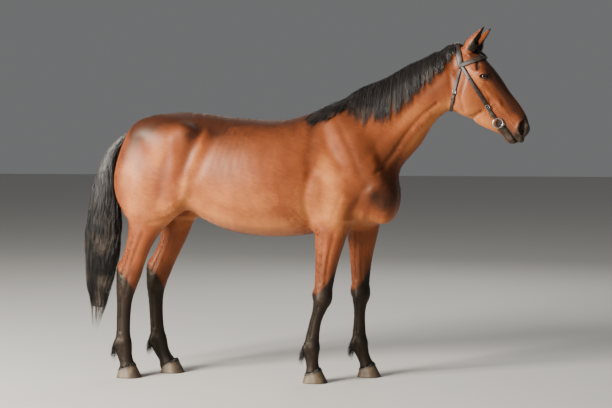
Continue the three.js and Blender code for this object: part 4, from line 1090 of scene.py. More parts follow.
def strands(paths, widths, outward, flat):  # closed tapered hairs along (n, k, 3) paths
    n, k, _ = paths.shape
    sides = hairSides
    along = unit(np.gradient(paths, axis=1))
    side = unit(np.cross(along, outward))
    up = np.cross(side, along)
    a = np.arange(sides) / sides * 2 * math.pi + math.pi / 2
    ring = (paths[:, :, None] + widths[:, :, None, None] / 2 * (
        np.cos(a)[:, None] * side[:, :, None] + flat * np.sin(a)[:, None] * up[:, :, None]))[:, :-1]
    size = (k - 1) * sides + 1
    points = np.concatenate([ring.reshape(n, -1, 3), paths[:, -1:]], 1).reshape(-1, 3)
    i, j = np.meshgrid(np.arange(k - 2), np.arange(sides), indexing="ij")
    p, q = i * sides + j, i * sides + (j + 1) % sides
    quads = np.stack([p, q, q + sides, p + sides], -1).reshape(1, -1, 4)
    tips = np.array([[(k - 2) * sides + j, (k - 2) * sides + (j + 1) % sides, size - 1] for j in range(sides)])
    caps = np.array([[0, j + 1, j] for j in range(1, sides - 1)])
    base = np.arange(n)[:, None, None] * size
    return points, [(quads + base).reshape(-1, 4), (np.vstack([tips, caps])[None] + base).reshape(-1, 3)], size


def patches(roots, k, size=.003):  # each hair is a small patch at its root's place on the unwrap
    t = np.append(np.repeat(np.arange(k - 1), hairSides), k - 1) / (k - 1) * size
    s = np.append(np.tile(np.arange(hairSides), k - 1), 1) / (hairSides - 1) * size
    return (unwrapAt(roots)[:, None] + np.stack([s, t], -1)[None] - size / 2).reshape(-1, 2)


def hairPiece(name, paths, widths, outward, roots, finish, slot, nodes, marks, flat):
    points, faces, size = strands(paths, widths, outward, flat)
    k = paths.shape[1]
    strandMarks = {"along": np.tile(np.append(np.repeat(np.arange(k - 1), hairSides), k - 1) / (k - 1), len(paths))}
    for key, values in marks.items():
        strandMarks[key] = np.repeat(values, size)
    return makePiece(name, points, faces, finish, slot, nodes, strandMarks, patches(roots, k))


skinNodes = ["head", "neck", "trunk", "ear_right", "ear_left", "forearm_front_right", "forearm_front_left",
             "gaskin_hind_right", "gaskin_hind_left"]
skinNodes += [part + spec["end"] for part in ("cannon_", "pastern_") for spec in legs.values()]
makePiece("skin", skinPoints, [skinQuads, skinTris], coatFinish("bayCoat"), "coat", skinNodes,
          masksAt(skinPoints, slope))


# Tufts stand off where the coat breaks the form.
tuftPlan = {
    "seed": 11, "count": 23000, "length": (.008, .015), "width": .0017, "lift": .10, "root": .0006, "stray": .12,
    "lines": [  # line as x and z along which the coat stands off, width, weight
        ([(.30, .86), (.10, .83), (-.12, .86), (-.32, .98)], .030, 1.2),
        ([(.26, .97), (.31, .90), (.36, .87)], .035, 2.0), ([(-.38, 1.10), (-.42, 1.03), (-.46, .98)], .035, 2.0),
        ([(-.77, 1.30), (-.80, 1.15), (-.77, .98), (-.74, .86)], .028, 1.6),
        ([(.74, .98), (.80, 1.10), (.80, 1.22), (.86, 1.38), (1.02, 1.53), (1.14, 1.55)], .024, 1.8),
        ([(1.14, 1.55), (1.22, 1.49), (1.30, 1.46), (1.40, 1.41), (1.46, 1.37)], .018, 1.8),
        ([(1.20, 1.92), (1.24, 1.89), (1.27, 1.86)], .030, 1.6), ([(1.16, 1.90), (1.13, 1.78)], .018, .8),
        ([(-.70, 1.46), (-.55, 1.55), (-.35, 1.58), (-.1, 1.53), (.1, 1.52), (.3, 1.55)], .014, .7)],
}


def sampleSkin(weight, count, dice):  # places on the skin, more of them where the weight is high
    a, b, c, d = (skinPoints[skinQuads[:, i]] for i in range(4))
    area = np.linalg.norm(np.cross(c - a, d - b), axis=1) * weight[skinQuads].mean(1)
    pick = np.searchsorted(np.cumsum(area) / area.sum(), dice.random(count))
    u, v = dice.random((2, count, 1))
    a, b, c, d = (skinPoints[skinQuads[pick, i]] for i in range(4))
    p = (a * (1 - u) + b * u) * (1 - v) + (d * (1 - u) + c * u) * v
    return p, unit(sum(slope[skinQuads[pick, i]] for i in range(4)))


def tuftWeight():
    x, y, z = skinPoints.T
    total = sum(along2d(skinPoints, line, width) * weight for line, width, weight in tuftPlan["lines"])
    for leg, spec in legs.items():  # the backs of the legs
        bone = smoothRows(spec["bones"], 6)
        behind = smooth(.1, -.6, slope[:, 0]) * (np.abs(x - np.interp(-z, -bone[:, 2], bone[:, 0])) < .1) \
            * (np.abs(y - boneAt(leg, .4)[1]) < .07) * smooth(.86, .78, z)
        total = total + behind * 1.4 * smooth(.085, .11, z)
    for ear in ears.values():
        a, u, v, r = ear.place(skinPoints)
        total = total + 3. * ((a > .1) & (a < 1.05) & (np.abs(v) < .04) & (np.abs(u) < .05) & (u > r * .15))
    return total


def buildTufts():
    m, dice = tuftPlan, np.random.default_rng(tuftPlan["seed"])
    roots, normals = sampleSkin(tuftWeight() + .012, m["count"], dice)
    way = lieAt(roots, normals)
    inEar = np.zeros(len(roots))
    for ear in ears.values():
        a, _, v, _ = ear.place(roots)
        near = ((a > .1) & (a < 1.1) & (np.abs(v) < .04) & (roots[:, 2] > 1.88))[:, None]
        way = np.where(near, unit(ear.axis + .35 * ear.open), way)
        inEar += near[:, 0]
    way = unit(way + dice.normal(0, m["stray"], way.shape))[:, None]
    long = dice.uniform(*m["length"], len(roots)) * (1 - .45 * smooth(1.15, 1.3, roots[:, 0]) * (1 - inEar))
    long, up, t = long[:, None, None], normals[:, None], np.linspace(0, 1, 4)[None, :, None]
    paths = roots[:, None] - m["root"] * up + way * long * t + up * (m["root"] + long * m["lift"] * np.sin(t * 2.2))
    look, marks = coatFinish("bayTufts"), masksAt(roots, normals)
    for i, half in enumerate(np.array_split(np.arange(len(roots)), 2)):
        widths = m["width"] * np.array([1, .9, .6, 0])[None] * dice.uniform(.7, 1.2, (len(half), 1))
        hairPiece(f"coatTufts{i + 1}", paths[half], widths, up[half] + 0 * paths[half], roots[half], look, "coat", (),
                  {k: v[half] for k, v in marks.items()}, .35)


buildTufts()


# The mane falls to the right, along the side of the neck.
manePlan = {
    "seed": 3, "locks": 124, "hairs": 4300, "steps": 9, "width": .0029, "thick": .016, "lockWidth": .020,
    "from": .338, "to": 1.134, "ends": (.330, 1.142), "gridX": (.24, 1.25, .012), "gridZ": (1.20, 1.99, .010),
    "fall": [  # x, how far the hair hangs
        (.335, .055), (.376, .105), (.416, .145), (.450, .150), (.495, .140), (.535, .120), (.568, .110),
        (.598, .160), (.628, .240), (.700, .275), (.785, .298), (.846, .285), (.902, .250), (.959, .210),
        (1.015, .180), (1.071, .150), (1.110, .110), (1.150, .080)],
    "lean": [  # x, how far forward it leans
        (.335, -.80), (.50, -.62), (.57, -.40), (.64, -.14), (.75, -.04), (.95, .03), (1.15, .05)],
}
# black mane; its lighter grey-brown hairs and ends are partly painted sheen
maneLook = hairFinish("maneHair", tint(17, 13, 14), tint(66, 55, 50), tint(98, 80, 66))
gridX, gridZ = np.arange(*manePlan["gridX"]), np.arange(*manePlan["gridZ"])
gridPoints = np.stack(np.meshgrid(gridX, [0], gridZ, indexing="ij"), -1).reshape(-1, 3)
sideGrid = flesh.reach(gridPoints, np.array([[0., -1, 0]]), .30).reshape(len(gridX), len(gridZ))
topStart = np.stack([gridX, 0 * gridX, 1.28 + .5 * np.maximum(gridX - .3, 0)], 1)
crestTop = topStart[:, 2] + flesh.reach(topStart, np.array([[0., 0, 1]]), .45)


def sideAt(x, z):  # how far out the right side of the neck is
    i = np.clip((x - gridX[0]) / manePlan["gridX"][2], 0, len(gridX) - 1.001)
    j = np.clip((z - gridZ[0]) / manePlan["gridZ"][2], 0, len(gridZ) - 1.001)
    a, b, u, v = i.astype(int), j.astype(int), i % 1, j % 1
    return (sideGrid[a, b] * (1 - u) * (1 - v) + sideGrid[a + 1, b] * u * (1 - v)
            + sideGrid[a, b + 1] * (1 - u) * v + sideGrid[a + 1, b + 1] * u * v)


def buildMane():
    m, dice = manePlan, np.random.default_rng(manePlan["seed"])
    lockX = np.linspace(m["from"], m["to"], m["locks"]) + dice.normal(0, .003, m["locks"])
    lockLean, lockFall = dice.normal(0, .08, m["locks"]), dice.uniform(.80, 1.05, m["locks"])
    lockLift = dice.uniform(.25, 1, m["locks"])
    own = dice.integers(0, m["locks"], m["hairs"])
    spread, layer = dice.normal(0, .42, m["hairs"]), dice.random(m["hairs"])
    s = np.linspace(0, 1, m["steps"])[None] ** 1.15
    x0 = np.clip(lockX[own] + spread * m["lockWidth"], *m["ends"])
    fall = np.interp(x0, *zip(*m["fall"])) * lockFall[own] * dice.uniform(.66, 1.04, m["hairs"]) \
        * (1 - .16 * np.minimum(np.abs(spread), 1.2))
    lean = (np.interp(x0, *zip(*m["lean"])) + lockLean[own])[:, None]
    sway = .004 * np.sin(s * 7 + dice.uniform(0, 6.3, (m["hairs"], 1)) * .4 + own[:, None]) * s
    x = x0[:, None] - spread[:, None] * m["lockWidth"] * .55 * s ** 1.4 + lean * fall[:, None] * s + sway
    top = np.interp(x0, gridX, crestTop)[:, None] - .003
    z = top - (fall[:, None] / np.sqrt(1 + .35 * lean ** 2)) * s
    swell = .30 + .9 * np.sin(np.clip(s * 2.6, 0, 2.6))
    lift = .0015 + m["thick"] * (layer * .55 + lockLift[own] * .45)[:, None] * swell / 1.2
    over = np.minimum(s / .16, 1)   # 0 on the crest, 1 where the hair has turned down
    y = -(sideAt(x, z) * over + lift * np.minimum(1, .25 + over)) \
        + (1 - over) * dice.uniform(-.014, .022, (m["hairs"], 1))
    z = z + (1 - over) * (.004 + .005 * layer[:, None])
    paths = np.stack([x, y, z], -1)
    widths = m["width"] * np.clip(1.15 - s ** 1.6 * 1.02, .10, 1) * dice.uniform(.5, 1.2, (m["hairs"], 1))
    outward = np.zeros_like(paths) + [0, -1, .35]
    hairPiece("maneLocks", paths, widths, outward, paths[:, 0], maneLook, "long_hair", ["mane"],
              {"own": dice.random(m["hairs"])}, .55)


buildMane()

forelockPlan = {  # it fans from a point inside the head, from the start through the turn, in radians
    "seed": 8, "hairs": 1400, "steps": 8, "from": (1.185, 1.800), "start": 1.50, "turn": 1.16, "width": .0024,
    "most": .172,
}


def buildForelock():
    m, dice = forelockPlan, np.random.default_rng(forelockPlan["seed"])
    s, n = np.linspace(0, 1, m["steps"])[None], m["hairs"]
    turn = m["turn"] * dice.uniform(.40, 1, (n, 1))
    side = dice.normal(0, .4, (n, 1))
    a = m["start"] - turn * s
    w = (side * (.21 - .13 * s) - .03 * s) + .02 * np.sin(s * 6 + side * 9)
    way = unit(np.stack([np.cos(a), w, np.sin(a)], -1))
    start = np.array([m["from"][0], 0, m["from"][1]])
    r = flesh.reach(np.broadcast_to(start, way.shape).reshape(-1, 3), way.reshape(-1, 3), .22).reshape(n, -1)
    r = np.minimum(r, m["most"]) + .0005 + dice.random((n, 1)) ** 1.3 * (.012 * np.sin(.25 + s * 2.3) + .007 * s)
    paths = start + way * r[..., None]
    widths = m["width"] * (1.08 - s ** 2) * dice.uniform(.6, 1.1, (n, 1))
    hairPiece("forelockLocks", paths, widths, way, paths[:, 0], maneLook, "long_hair", ["forelock"],
              {"own": dice.random(n)}, .55)


buildForelock()


tailPlan = {
    "seed": 21, "hairs": 2400, "locks": 38, "steps": 15, "width": .0042, "core": .74, "coreEnd": .86,
    "layers": [(.84, .30), (.93, .30), (1.0, .12)],     # how far out each lies, how far down its hairs start
    "line": [  # x, z, half thickness fore and aft, half width
        (-.705, 1.446, .030, .028), (-.752, 1.436, .032, .028), (-.800, 1.415, .034, .030),
        (-.858, 1.352, .038, .034), (-.890, 1.300, .043, .038), (-.915, 1.210, .058, .048),
        (-.928, 1.090, .080, .060), (-.934, .960, .099, .070), (-.946, .820, .107, .074),
        (-.955, .680, .099, .070), (-.971, .560, .082, .060), (-.975, .450, .060, .044),
        (-.987, .350, .034, .028), (-1.001, .212, .006, .006)],
}
tailLook = hairFinish("tailHair", tint(18, 15, 15), tint(62, 56, 52), tint(120, 106, 92))
tailRows = smoothRows(tailPlan["line"], 6)
tailAlong = unit(np.gradient(tailRows[:, :2], axis=0))
tailGone = np.concatenate([[0], np.cumsum(np.linalg.norm(np.diff(tailRows[:, :2], axis=0), axis=1))])
tailGone = tailGone / tailGone[-1]


def tailPlace(s, turn, out):  # s runs down the tail, turn goes round it, out is the share of its half thickness
    read = lambda v: np.interp(s, tailGone, v)
    tx, tz = read(tailAlong[:, 0]), read(tailAlong[:, 1])
    size = np.hypot(tx, tz)
    back = np.cos(turn) * out * read(tailRows[:, 2]) * np.abs(tz / size)
    return np.stack([read(tailRows[:, 0]) + tz / size * back, np.sin(turn) * out * read(tailRows[:, 3]),
                     read(tailRows[:, 1]) - tx / size * back], -1)


def buildTail():
    m, dice = tailPlan, np.random.default_rng(tailPlan["seed"])
    turn = np.linspace(0, 2 * math.pi, 22, endpoint=False)[None]
    s = np.linspace(0, m["coreEnd"], 40)[:, None]
    points, faces = loft(tailPlace(s + 0 * turn, turn + 0 * s, m["core"] * (1 + .12 * np.sin(turn * 5 + s * 4))))
    core = np.ones(len(points))
    makePiece("tailCore", points, faces, tailLook, "long_hair", ["tail"], {"along": core * .2, "own": core * .1})
    n, locks, t = m["hairs"], m["locks"], np.linspace(0, 1, m["steps"])[None]
    for layer, (far, down) in enumerate(m["layers"]):
        own = dice.integers(0, locks, n)
        lockTurn = np.linspace(0, 2 * math.pi, locks, endpoint=False) + dice.normal(0, .05, locks)
        lockWave, lockEnd = dice.uniform(0, 6.3, locks), dice.uniform(.70, 1.0, locks)
        start = dice.random(n) ** 1.3 * down
        end = np.minimum(start + .22 + dice.random(n) ** .55 * .80, lockEnd[own] * dice.uniform(.84, 1, n))
        spread = dice.normal(0, .10, n)[:, None]
        s = start[:, None] + (end - start)[:, None] * t
        base = far * dice.uniform(.84, 1.03, n)[:, None]
        wave = .05 + .16 * s
        out = base * (.88 + .12 * np.minimum(t * 5, 1)) \
            + wave * .55 * np.sin(s * 46 + lockWave[own][:, None] + spread * 5)
        turnAt = lockTurn[own][:, None] + spread * (1 - .35 * t) + wave * np.sin(s * 38 + 1.7 * lockWave[own][:, None])
        paths = tailPlace(s, turnAt, np.minimum(out, 1.06))
        centre = tailPlace(s, turnAt, 0 * s)
        widths = m["width"] * np.clip(1.1 - t ** 1.8, .1, 1) * dice.uniform(.35, 1.0, (n, 1))
        hairPiece(f"tailLocks{layer + 1}", paths, widths, unit(paths - centre + 1e-5), paths[:, 0], tailLook,
                  "long_hair", (), {"own": dice.random(n)}, .55)


buildTail()


hoofPlan = {
    "coronet": .078, "heel": .044, "groundHalf": .062, "coronetHalf": .045, "sides": 60, "rings": 16,
    "sole": [(.55, .0045), (.80, .0038), (.865, .0006)],    # sole, white line, inside of the wall: share, lift
    "crown": [(.93, .0030), (.80, .0035)],                  # the rounded top: share, lift
    "frogHalf": .013,
}


def hoofOutline(leg, t, grow=0):  # the wall's outline, from the ground at t = 0 to the coronet at t = 1
    spec = legs[leg]
    a = np.linspace(0, 2 * math.pi, hoofPlan["sides"], endpoint=False)
    c, s = np.cos(a), np.sin(a)
    x0 = spec["heel"] + .014 * t - grow
    x1 = spec["toe"] - .040 * t + grow
    half = hoofPlan["groundHalf"] * (1 - t) + hoofPlan["coronetHalf"] * t + grow
    x = (x0 + x1) / 2 + (x1 - x0) / 2 * np.sign(c) * np.abs(c) ** np.where(c < 0, .55, .95)
    y = spec["y"] + half * np.sign(s) * np.abs(s) ** .9 * np.where(c < 0, .96, 1)
    z = (hoofPlan["heel"] + (hoofPlan["coronet"] - hoofPlan["heel"]) * (x - x0) / (x1 - x0)) * t
    return np.stack([x, y, z], -1)


def buildHoof(leg, finish):
    spec = legs[leg]
    middle = np.array([(spec["toe"] + spec["heel"]) / 2, spec["y"], 0])
    rings, up = [], []
    for share, lift in hoofPlan["sole"]:
        ring = middle + (hoofOutline(leg, 0) - middle) * share
        frog = np.exp(-((ring[:, 1] - spec["y"]) / hoofPlan["frogHalf"]) ** 2) \
            * smooth(spec["heel"] + .09, spec["heel"] + .03, ring[:, 0])
        ring[:, 2] = lift * (1 - .9 * frog)
        rings.append(ring)
        up.append(0)
    for t in np.linspace(0, 1, hoofPlan["rings"]):
        bulge = .0012 * math.exp(-((t - .93) / .06) ** 2) + .0003 * math.sin(t * 40)
        rings.append(hoofOutline(leg, t, bulge - .0012 * (t == 0)))
        up.append(t)
    rim, top = rings[-1], rings[-1].mean(0)
    for share, lift in hoofPlan["crown"]:
        rings.append(top + (rim - top) * share + [0, 0, lift])
        up.append(1)
    points, faces = loft(np.array(rings))
    marks = {"up": np.append(np.repeat(up, hoofPlan["sides"]), [0, 1]),
             "toe": np.clip((points[:, 0] - spec["heel"]) / (spec["toe"] - spec["heel"]), 0, 1)}
    makePiece("hoof" + leg, points, faces, finish, "hoof_horn", ["hoof_" + spec["end"]], marks)


hornLook = hornFinish()
for leg in legs:
    buildHoof(leg, hornLook)


# hair behind the fetlocks, over the tops of the hooves and on the lids
trimPlan = {
    "seed": 31, "taper": [1, 1, .95, .8, .5, 0],
    "feathers": {"count": 300, "length": (.030, .078), "width": .0021, "height": (.176, .016), "aside": .011},
    "coronet": {"count": 420, "width": .0019},
    "lashes": {"count": 46, "from": -.016, "to": .017, "length": (.008, .012), "width": .0007,
               "taper": [1, 1, .9, .7, .4, 0]},
}


def buildTrimHair():
    m, dice = trimPlan, np.random.default_rng(trimPlan["seed"])
    paths, outs, widths = [], [], []
    taper, t = np.array(m["taper"])[None], np.linspace(0, 1, len(m["taper"]))[None, :, None]
    for leg in legs:
        f, n = m["feathers"], m["feathers"]["count"]
        z = dice.normal(*f["height"], n)
        x, y, _ = boneAt(leg, .185)
        aside = dice.normal(0, f["aside"], n)
        depth = flesh.reach(np.stack([np.full(n, x), y + aside, z], 1), np.array([[-1., 0, 0]]), .1)
        root = np.stack([x - depth + .002, y + aside, z], 1)
        way = unit(np.stack([dice.normal(-.34, .10, n), aside * 4 + dice.normal(0, .08, n), np.full(n, -1.)], 1))
        long = (dice.uniform(*f["length"], n) * (1 - .5 * np.minimum(np.abs(aside) / .022, 1)))[:, None, None]
        bend = np.array([-.35, 0, -.1])
        paths.append(root[:, None] + way[:, None] * long * t + bend * long * t * (1 - t) * .6)
        outs.append(np.zeros(paths[-1].shape) + [-1, 0, .2])
        widths.append(f["width"] * taper * dice.uniform(.6, 1.2, (n, 1)))
        f, n = m["coronet"], m["coronet"]["count"]
        pick = dice.integers(0, hoofPlan["sides"], n)
        rim, low = hoofOutline(leg, 1.)[pick], hoofOutline(leg, .72, .002)[pick]
        middle = rim.mean(0)
        jitter = dice.normal(0, .0016, (n, 3))
        root = middle + (rim - middle) * .86 + [0, 0, .012] + jitter * .5
        long = dice.uniform(.35, 1.1, (n, 1))
        tip = rim + (low - rim) * long * .55 + jitter * .4
        knee = (rim - middle) * .02 + rim + [0, 0, .002] + jitter * .5
        paths.append(root[:, None] * (1 - t) ** 2 + 2 * knee[:, None] * t * (1 - t) + tip[:, None] * t ** 2)
        outs.append(np.broadcast_to(unit(rim - middle)[:, None] + [0, 0, .4], paths[-1].shape))
        widths.append(f["width"] * taper * dice.uniform(.6, 1.2, (n, 1)))
    paths, outs, widths = np.vstack(paths), np.vstack(outs), np.vstack(widths)
    marks = {"own": dice.random(len(paths)) * .7}
    hairPiece("fetlockHair", paths, widths, outs, paths[:, 0], maneLook, "long_hair", (), marks, .5)
    paths, outs, f, n = [], [], m["lashes"], m["lashes"]["count"]
    for s in (-1, 1):
        slit = EyeSlit(s, eyes[s])
        u = np.linspace(f["from"], f["to"], n) + dice.normal(0, .0004, n)
        v = eyeSpec["upper"] * np.clip(1 - (u / eyeSpec["halfLength"]) ** 2, 0, 1) ** .8 + .0012
        depth = np.sqrt(np.maximum((eyeSpec["radius"] + .002) ** 2 - u ** 2 - v ** 2, 0))
        root = slit.centre + u[:, None] * slit.long + v[:, None] * slit.tall + depth[:, None] * np.array([0, s, 0])
        way = unit(np.array([0, s, 0]) + .35 * slit.tall - .5 * (u / .02)[:, None] * -slit.long * .6
                   + dice.normal(0, .08, (n, 3)))
        long = dice.uniform(*f["length"], (n, 1, 1))
        paths.append(root[:, None] + way[:, None] * long * t - slit.tall * long * t ** 2 * .55)
        outs.append(np.broadcast_to(slit.tall, paths[-1].shape))
    paths, outs = np.vstack(paths), np.vstack(outs)
    widths = f["width"] * np.array(f["taper"])[None] * np.ones((len(paths), 1))
    marks = {"own": np.zeros(len(paths))}
    hairPiece("lashes", paths, widths, outs, paths[:, 0], maneLook, "long_hair", (), marks, .6)


buildTrimHair()


def buildEye(side, finish):  # a ball with a slight bulge over the iris
    centre, slit = eyes[side], EyeSlit(side, eyes[side])
    out = unit(np.array([.10, side, .04]))
    long = unit(slit.long - slit.long @ out * out)
    tall = np.cross(out, long) * side * -1
    a = np.linspace(.05, math.pi - .05, 34)[:, None]
    b = np.linspace(0, 2 * math.pi, 44, endpoint=False)[None]
    radius = (eyeSpec["radius"] - .0006) * (1 + .030 * smooth(.72, .45, a))
    local = np.stack([np.sin(a) * np.cos(b), np.sin(a) * np.sin(b), np.cos(a) + 0 * b], -1) * radius[..., None]
    points, faces = loft(local[:, ::-1] if side > 0 else local)
    marks = {"across": points[:, 0], "high": points[:, 1]}
    place = centre + points[:, :1] * long + points[:, 1:2] * tall + points[:, 2:] * out
    name = sideNames[side]
    makePiece("eye" + name.title(), place, faces, finish, "eye", ["eye_" + name], marks)


eyeLook = eyeFinish()
for side in (-1, 1):
    buildEye(side, eyeLook)


bridlePlan = {
    "thick": .0036, "clear": .0008, "samples": 7,
    "over": {  # node, from a point in the head towards its top or throat, half width, how far round in degrees, lift
        "crownStrap": ("crown_strap", (1.183, 1.812), (1.160, 1.925), .0165, 93, .0),
        "browband": ("browband", (1.186, 1.818), (1.322, 1.868), .0125, 94, .0034),
        "throatlatch": ("throatlatch", (1.156, 1.700), (1.124, 1.566), .008, 147, .0)},
    "cheek": ((1.183, 1.820), (1.372, 1.520), .0095, .0012),    # from, to, half width, lift
    "throat": {"buckle": 24, "keepers": (27, 31)},              # which of the strap's sections they are on
    "cheekKeepers": (.28, .52), "cheekBuckle": .80, "cheekEnd": .95,    # how far down the strap
    "ring": .0270, "ringWire": .0033, "bar": .0065,
    "buckleWire": .0015, "buckleBar": .0012, "prong": .0010, "corner": .45, "keeperCorner": .4,
}
smoothHead = Body()
smoothHead.forms = [form for form in flesh.forms if not isinstance(form[0], (Ear, EyeSlit))]
leatherLook, steelLook = leatherFinish(), steelFinish()


def strap(name, top, low, out, node):  # skin points under it (k, n, 3) with outward ways
    k, n, _ = top.shape
    v = np.linspace(0, 1, n)
    rise = bridlePlan["clear"] + bridlePlan["thick"] * np.array([.55, .95] + [1.] * (n - 4) + [.95, .55])
    upper = top + out * (rise + low)[None, :, None]
    under = top[:, ::-1] + out[:, ::-1] * (bridlePlan["clear"] + low)
    points, faces = loft(np.concatenate([upper, under], 1))
    gone = np.concatenate([[0], np.cumsum(np.linalg.norm(np.diff(top[:, n // 2], axis=0), axis=1))])
    marks = {"u": np.append(np.repeat(gone, 2 * n), [0, gone[-1]]),
             "v": np.append(np.tile(np.concatenate([v, v[::-1]]), k), [.5, .5])}
    makePiece(name, points, faces, leatherLook, "leather", [node], marks)


def strapPoints(start, ways, across, half, most):  # where rays from inside the head leave it, side by side
    offs = np.linspace(-half, half, bridlePlan["samples"])
    p = start[:, None] + offs[None, :, None] * across[None, None]
    way = np.broadcast_to(ways[:, None], p.shape)
    r = smoothHead.reach(p.reshape(-1, 3), way.reshape(-1, 3), most).reshape(p.shape[:2])
    for _ in range(3):   # leather bridges the hollows
        r[1:-1] = np.maximum(r[1:-1], (r[:-2] + r[2:]) / 2)
        r[:, 1:-1] = np.maximum(r[:, 1:-1], (r[:, :-2] + r[:, 2:]) / 2)
    return p + way * r[..., None], way


def seat(points, out, i, lift, ahead=1, behind=1):  # over the middle of a strap: place, the strap's way, way out
    middle = bridlePlan["samples"] // 2
    return (points[i, middle] + out[i, middle] * lift,
            unit(points[i + ahead, middle] - points[i - behind, middle]), out[i, middle])


def tube(path, radius, up, sides, joined=False):
    along = unit(np.roll(path, -1, 0) - np.roll(path, 1, 0)) if joined else unit(np.gradient(path, axis=0))
    side = unit(np.cross(along, up))
    high = np.cross(side, along)
    a = np.linspace(0, 2 * math.pi, sides, endpoint=False)[:, None]
    rings = path[:, None] + radius * (np.cos(a) * side[:, None] + np.sin(a) * high[:, None])
    if joined:
        rings = np.concatenate([rings, rings[:1]])
    return loft(rings, not joined)


def joinedPiece(name, parts, finish, slot, nodes=(), marks=None):
    points, faces, base = [], [], 0
    for p, groups in parts:
        points.append(p)
        faces += [g + base for g in groups]
        base += len(p)
    marks = {key: np.full(base, value) for key, value in (marks or {}).items()}
    makePiece(name, np.vstack(points), faces, finish, slot, nodes, marks)


def rounded(a, power):  # a circle's cosine and sine, pushed out towards a square with round corners
    return [np.sign(v) * np.abs(v) ** power for v in (np.cos(a), np.sin(a))]


def buckle(centre, along, out, half, reach):
    side = np.cross(out, along)
    c, s = rounded(np.linspace(0, 2 * math.pi, 40, endpoint=False)[:, None], bridlePlan["corner"])
    frame = centre + along * reach * c + side * half * s
    bar = centre + side * half * np.linspace(-1, 1, 6)[:, None]
    prong = centre + along * reach * np.linspace(0, 1.05, 6)[:, None] + out * .0012
    return [tube(frame, bridlePlan["buckleWire"], out, 10, True), tube(bar, bridlePlan["buckleBar"], out, 8),
            tube(prong, bridlePlan["prong"], out, 8)]


def keeper(centre, along, out, half, reach, thick=.0026, roll=.0007):
    side = np.cross(out, along)
    a = np.linspace(0, 2 * math.pi, 28, endpoint=False)[:, None]
    (c, s), power = (np.cos(a), np.sin(a)), bridlePlan["keeperCorner"]
    rings = []
    for share, grow in ((-1, 0), (-.8, roll), (.8, roll), (1, 0)):
        box = side * (half + grow) * np.sign(c) * np.abs(c) ** power \
            + out * (thick + grow) * np.sign(s) * np.abs(s) ** power
        rings.append(centre + along * reach * share + box)
    return loft(np.array(rings))


def square(along, out):  # the outward way made square to the strap
    return unit(out - along * (along @ out))


def inHead(*places):
    return (np.array([x, 0, z]) for x, z in places)


for name, (node, start, to, half, turn, lift) in bridlePlan["over"].items():
    start, to = inHead(start, to)
    up = unit(to - start)
    a = np.radians(np.linspace(-turn, turn, 90))[:, None]
    ways = np.cos(a) * up + np.sin(a) * np.array([0, 1, 0])
    points, out = strapPoints(np.broadcast_to(start, ways.shape), ways, np.cross(up, [0, 1, 0]), half, .24)
    strap(name, points, lift, out, node)
spots = bridlePlan["throat"]    # the throatlatch is the last of them
at, along, way = seat(points, out, spots["buckle"], .0062)
buckles = buckle(at, along, square(along, way), half + .0022, .009)
keepers = []
for i in spots["keepers"]:
    at, along, way = seat(points, out, i, .003)
    keepers.append(keeper(at, along, square(along, way), .0090, .004))
start, to, half, lift = bridlePlan["cheek"]
start, to = inHead(start, to)
for side, end in sideNames.items():
    t = np.linspace(0, 1, 60)[:, None]
    line = start + (to - start) * t
    ways = np.broadcast_to([0., side, 0], line.shape)
    points, out = strapPoints(line, ways, np.cross(unit(to - start), [0, 1, 0]), half, .2)
    low, high = (np.array(v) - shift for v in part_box("bit_ring_" + end))
    ring = (low + high) / 2
    pull = np.clip((t - .84) / .16, 0, 1)[..., None] ** 1.5     # the strap's end turns in to the ring
    points = points + pull * (np.array([0, 1, 0]) * (ring[1] - side * .004 - points[:, :, 1:2]) * .75)
    strap("cheekStrap" + end.title(), points, lift, out, "cheekpiece_" + end)
    a = np.linspace(0, 2 * math.pi, 72, endpoint=False)[:, None]
    loop = ring + bridlePlan["ring"] * (np.cos(a) * np.array([1, 0, 0]) + np.sin(a) * np.array([0, 0, 1]))
    joinedPiece("bitRing" + end.title(), [tube(loop, bridlePlan["ringWire"], np.array([0, 1., 0]), 14, True)],
                steelLook, "steel", ["bit_ring_" + end])
    for share in bridlePlan["cheekKeepers"]:
        keepers.append(keeper(*seat(points, out, int(share * 59), .0035), half + .0012, .0042))
    buckles += buckle(*seat(points, out, int(bridlePlan["cheekBuckle"] * 59), .0068), half + .0024, .011)
    keepers.append(keeper(*seat(points, out, int(bridlePlan["cheekEnd"] * 59), .002, 0, 3), half + .0005, .0075, .0052))
joinedPiece("keepers", keepers, leatherLook, "leather", (), {"u": 0., "v": .5})
joinedPiece("buckles", buckles, steelLook, "steel")
low, high = (np.array(v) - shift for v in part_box("bit_mouthpiece"))
middle = (low + high) / 2
rod = np.stack([np.full(30, middle[0]), np.linspace(low[1] + .002, high[1] - .002, 30), np.full(30, middle[2])], 1)
joinedPiece("bitBar", [tube(rod, bridlePlan["bar"], np.array([0, 0, 1.]), 14)], steelLook, "steel", ["bit_mouthpiece"])
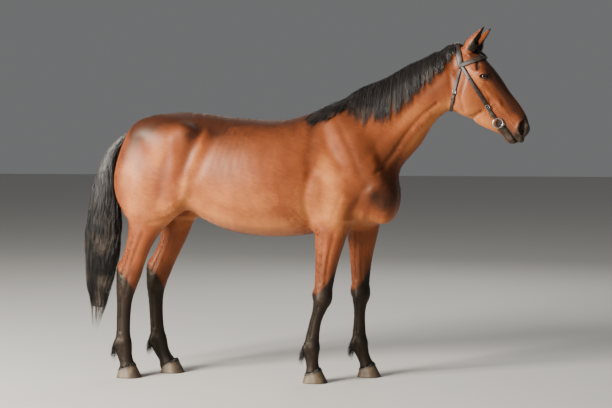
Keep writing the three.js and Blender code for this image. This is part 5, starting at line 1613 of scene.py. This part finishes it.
print("bridle made")


stage = {
    "floor": (tint(206, 204, 200), tint(190, 188, 184)), "floorHalf": 40.,
    "world": ((.86, .87, .88, 1), .185),
    "lit": (0, 0, 1), "lights": [  # where, watts, size, colour
        ((-5.6, -5.6, 3.6), 2350, 3.0, (1, .95, .87)),
        ((5.2, -4.0, 3.2), 24, 4.0, (.92, .96, 1)),
        ((.5, 5.5, 4.5), 110, 3.0, (1, .98, .95))],
    "camera": {"at": (1.7569, -8.2656, 1.4357), "look": (-.17511, .98332, -.04908), "focal": 1445 / 612 * 36},
}
ground = Finish("studioFloor", roughness=.85, specular=.2)
ground.feed(colour=ground.mix(ground.noise(ground.place(), 3, 3) * .10, *stage["floor"]),
            normal=ground.bump(ground.noise(ground.place(), 220, 2), .08, .001))
edge = stage["floorHalf"]
floor = makePiece("floor", np.array([(-edge, -edge, 0), (edge, -edge, 0), (edge, edge, 0), (-edge, edge, 0)]),
                  np.array([[0, 1, 2, 3]]), ground.material, None)
world = bpy.data.worlds.new("studio")
bpy.context.scene.world = world
world.use_nodes = True
background = world.node_tree.nodes["Background"]
background.inputs["Color"].default_value, background.inputs["Strength"].default_value = stage["world"]


def aim(thing, way):  # turns a lamp or the camera this way and puts it in the scene
    thing.rotation_mode = "QUATERNION"
    thing.rotation_quaternion = Vector(way).to_track_quat("-Z", "Y")
    bpy.context.scene.collection.objects.link(thing)


for i, (at, watts, size, colour) in enumerate(stage["lights"]):
    lamp = bpy.data.objects.new(f"lamp{i + 1}", bpy.data.lights.new(f"lamp{i + 1}", "AREA"))
    lamp.data.energy, lamp.data.size, lamp.data.color = watts, size, colour
    lamp.location = at
    aim(lamp, Vector(stage["lit"]) - Vector(at))
camera = bpy.data.objects.new("camera", bpy.data.cameras.new("camera"))
camera.data.lens, camera.data.sensor_width, camera.data.clip_end = stage["camera"]["focal"], 36, 200
camera.location = Vector(stage["camera"]["at"]) + Vector(shift)
aim(camera, stage["camera"]["look"])
bpy.context.scene.camera = camera
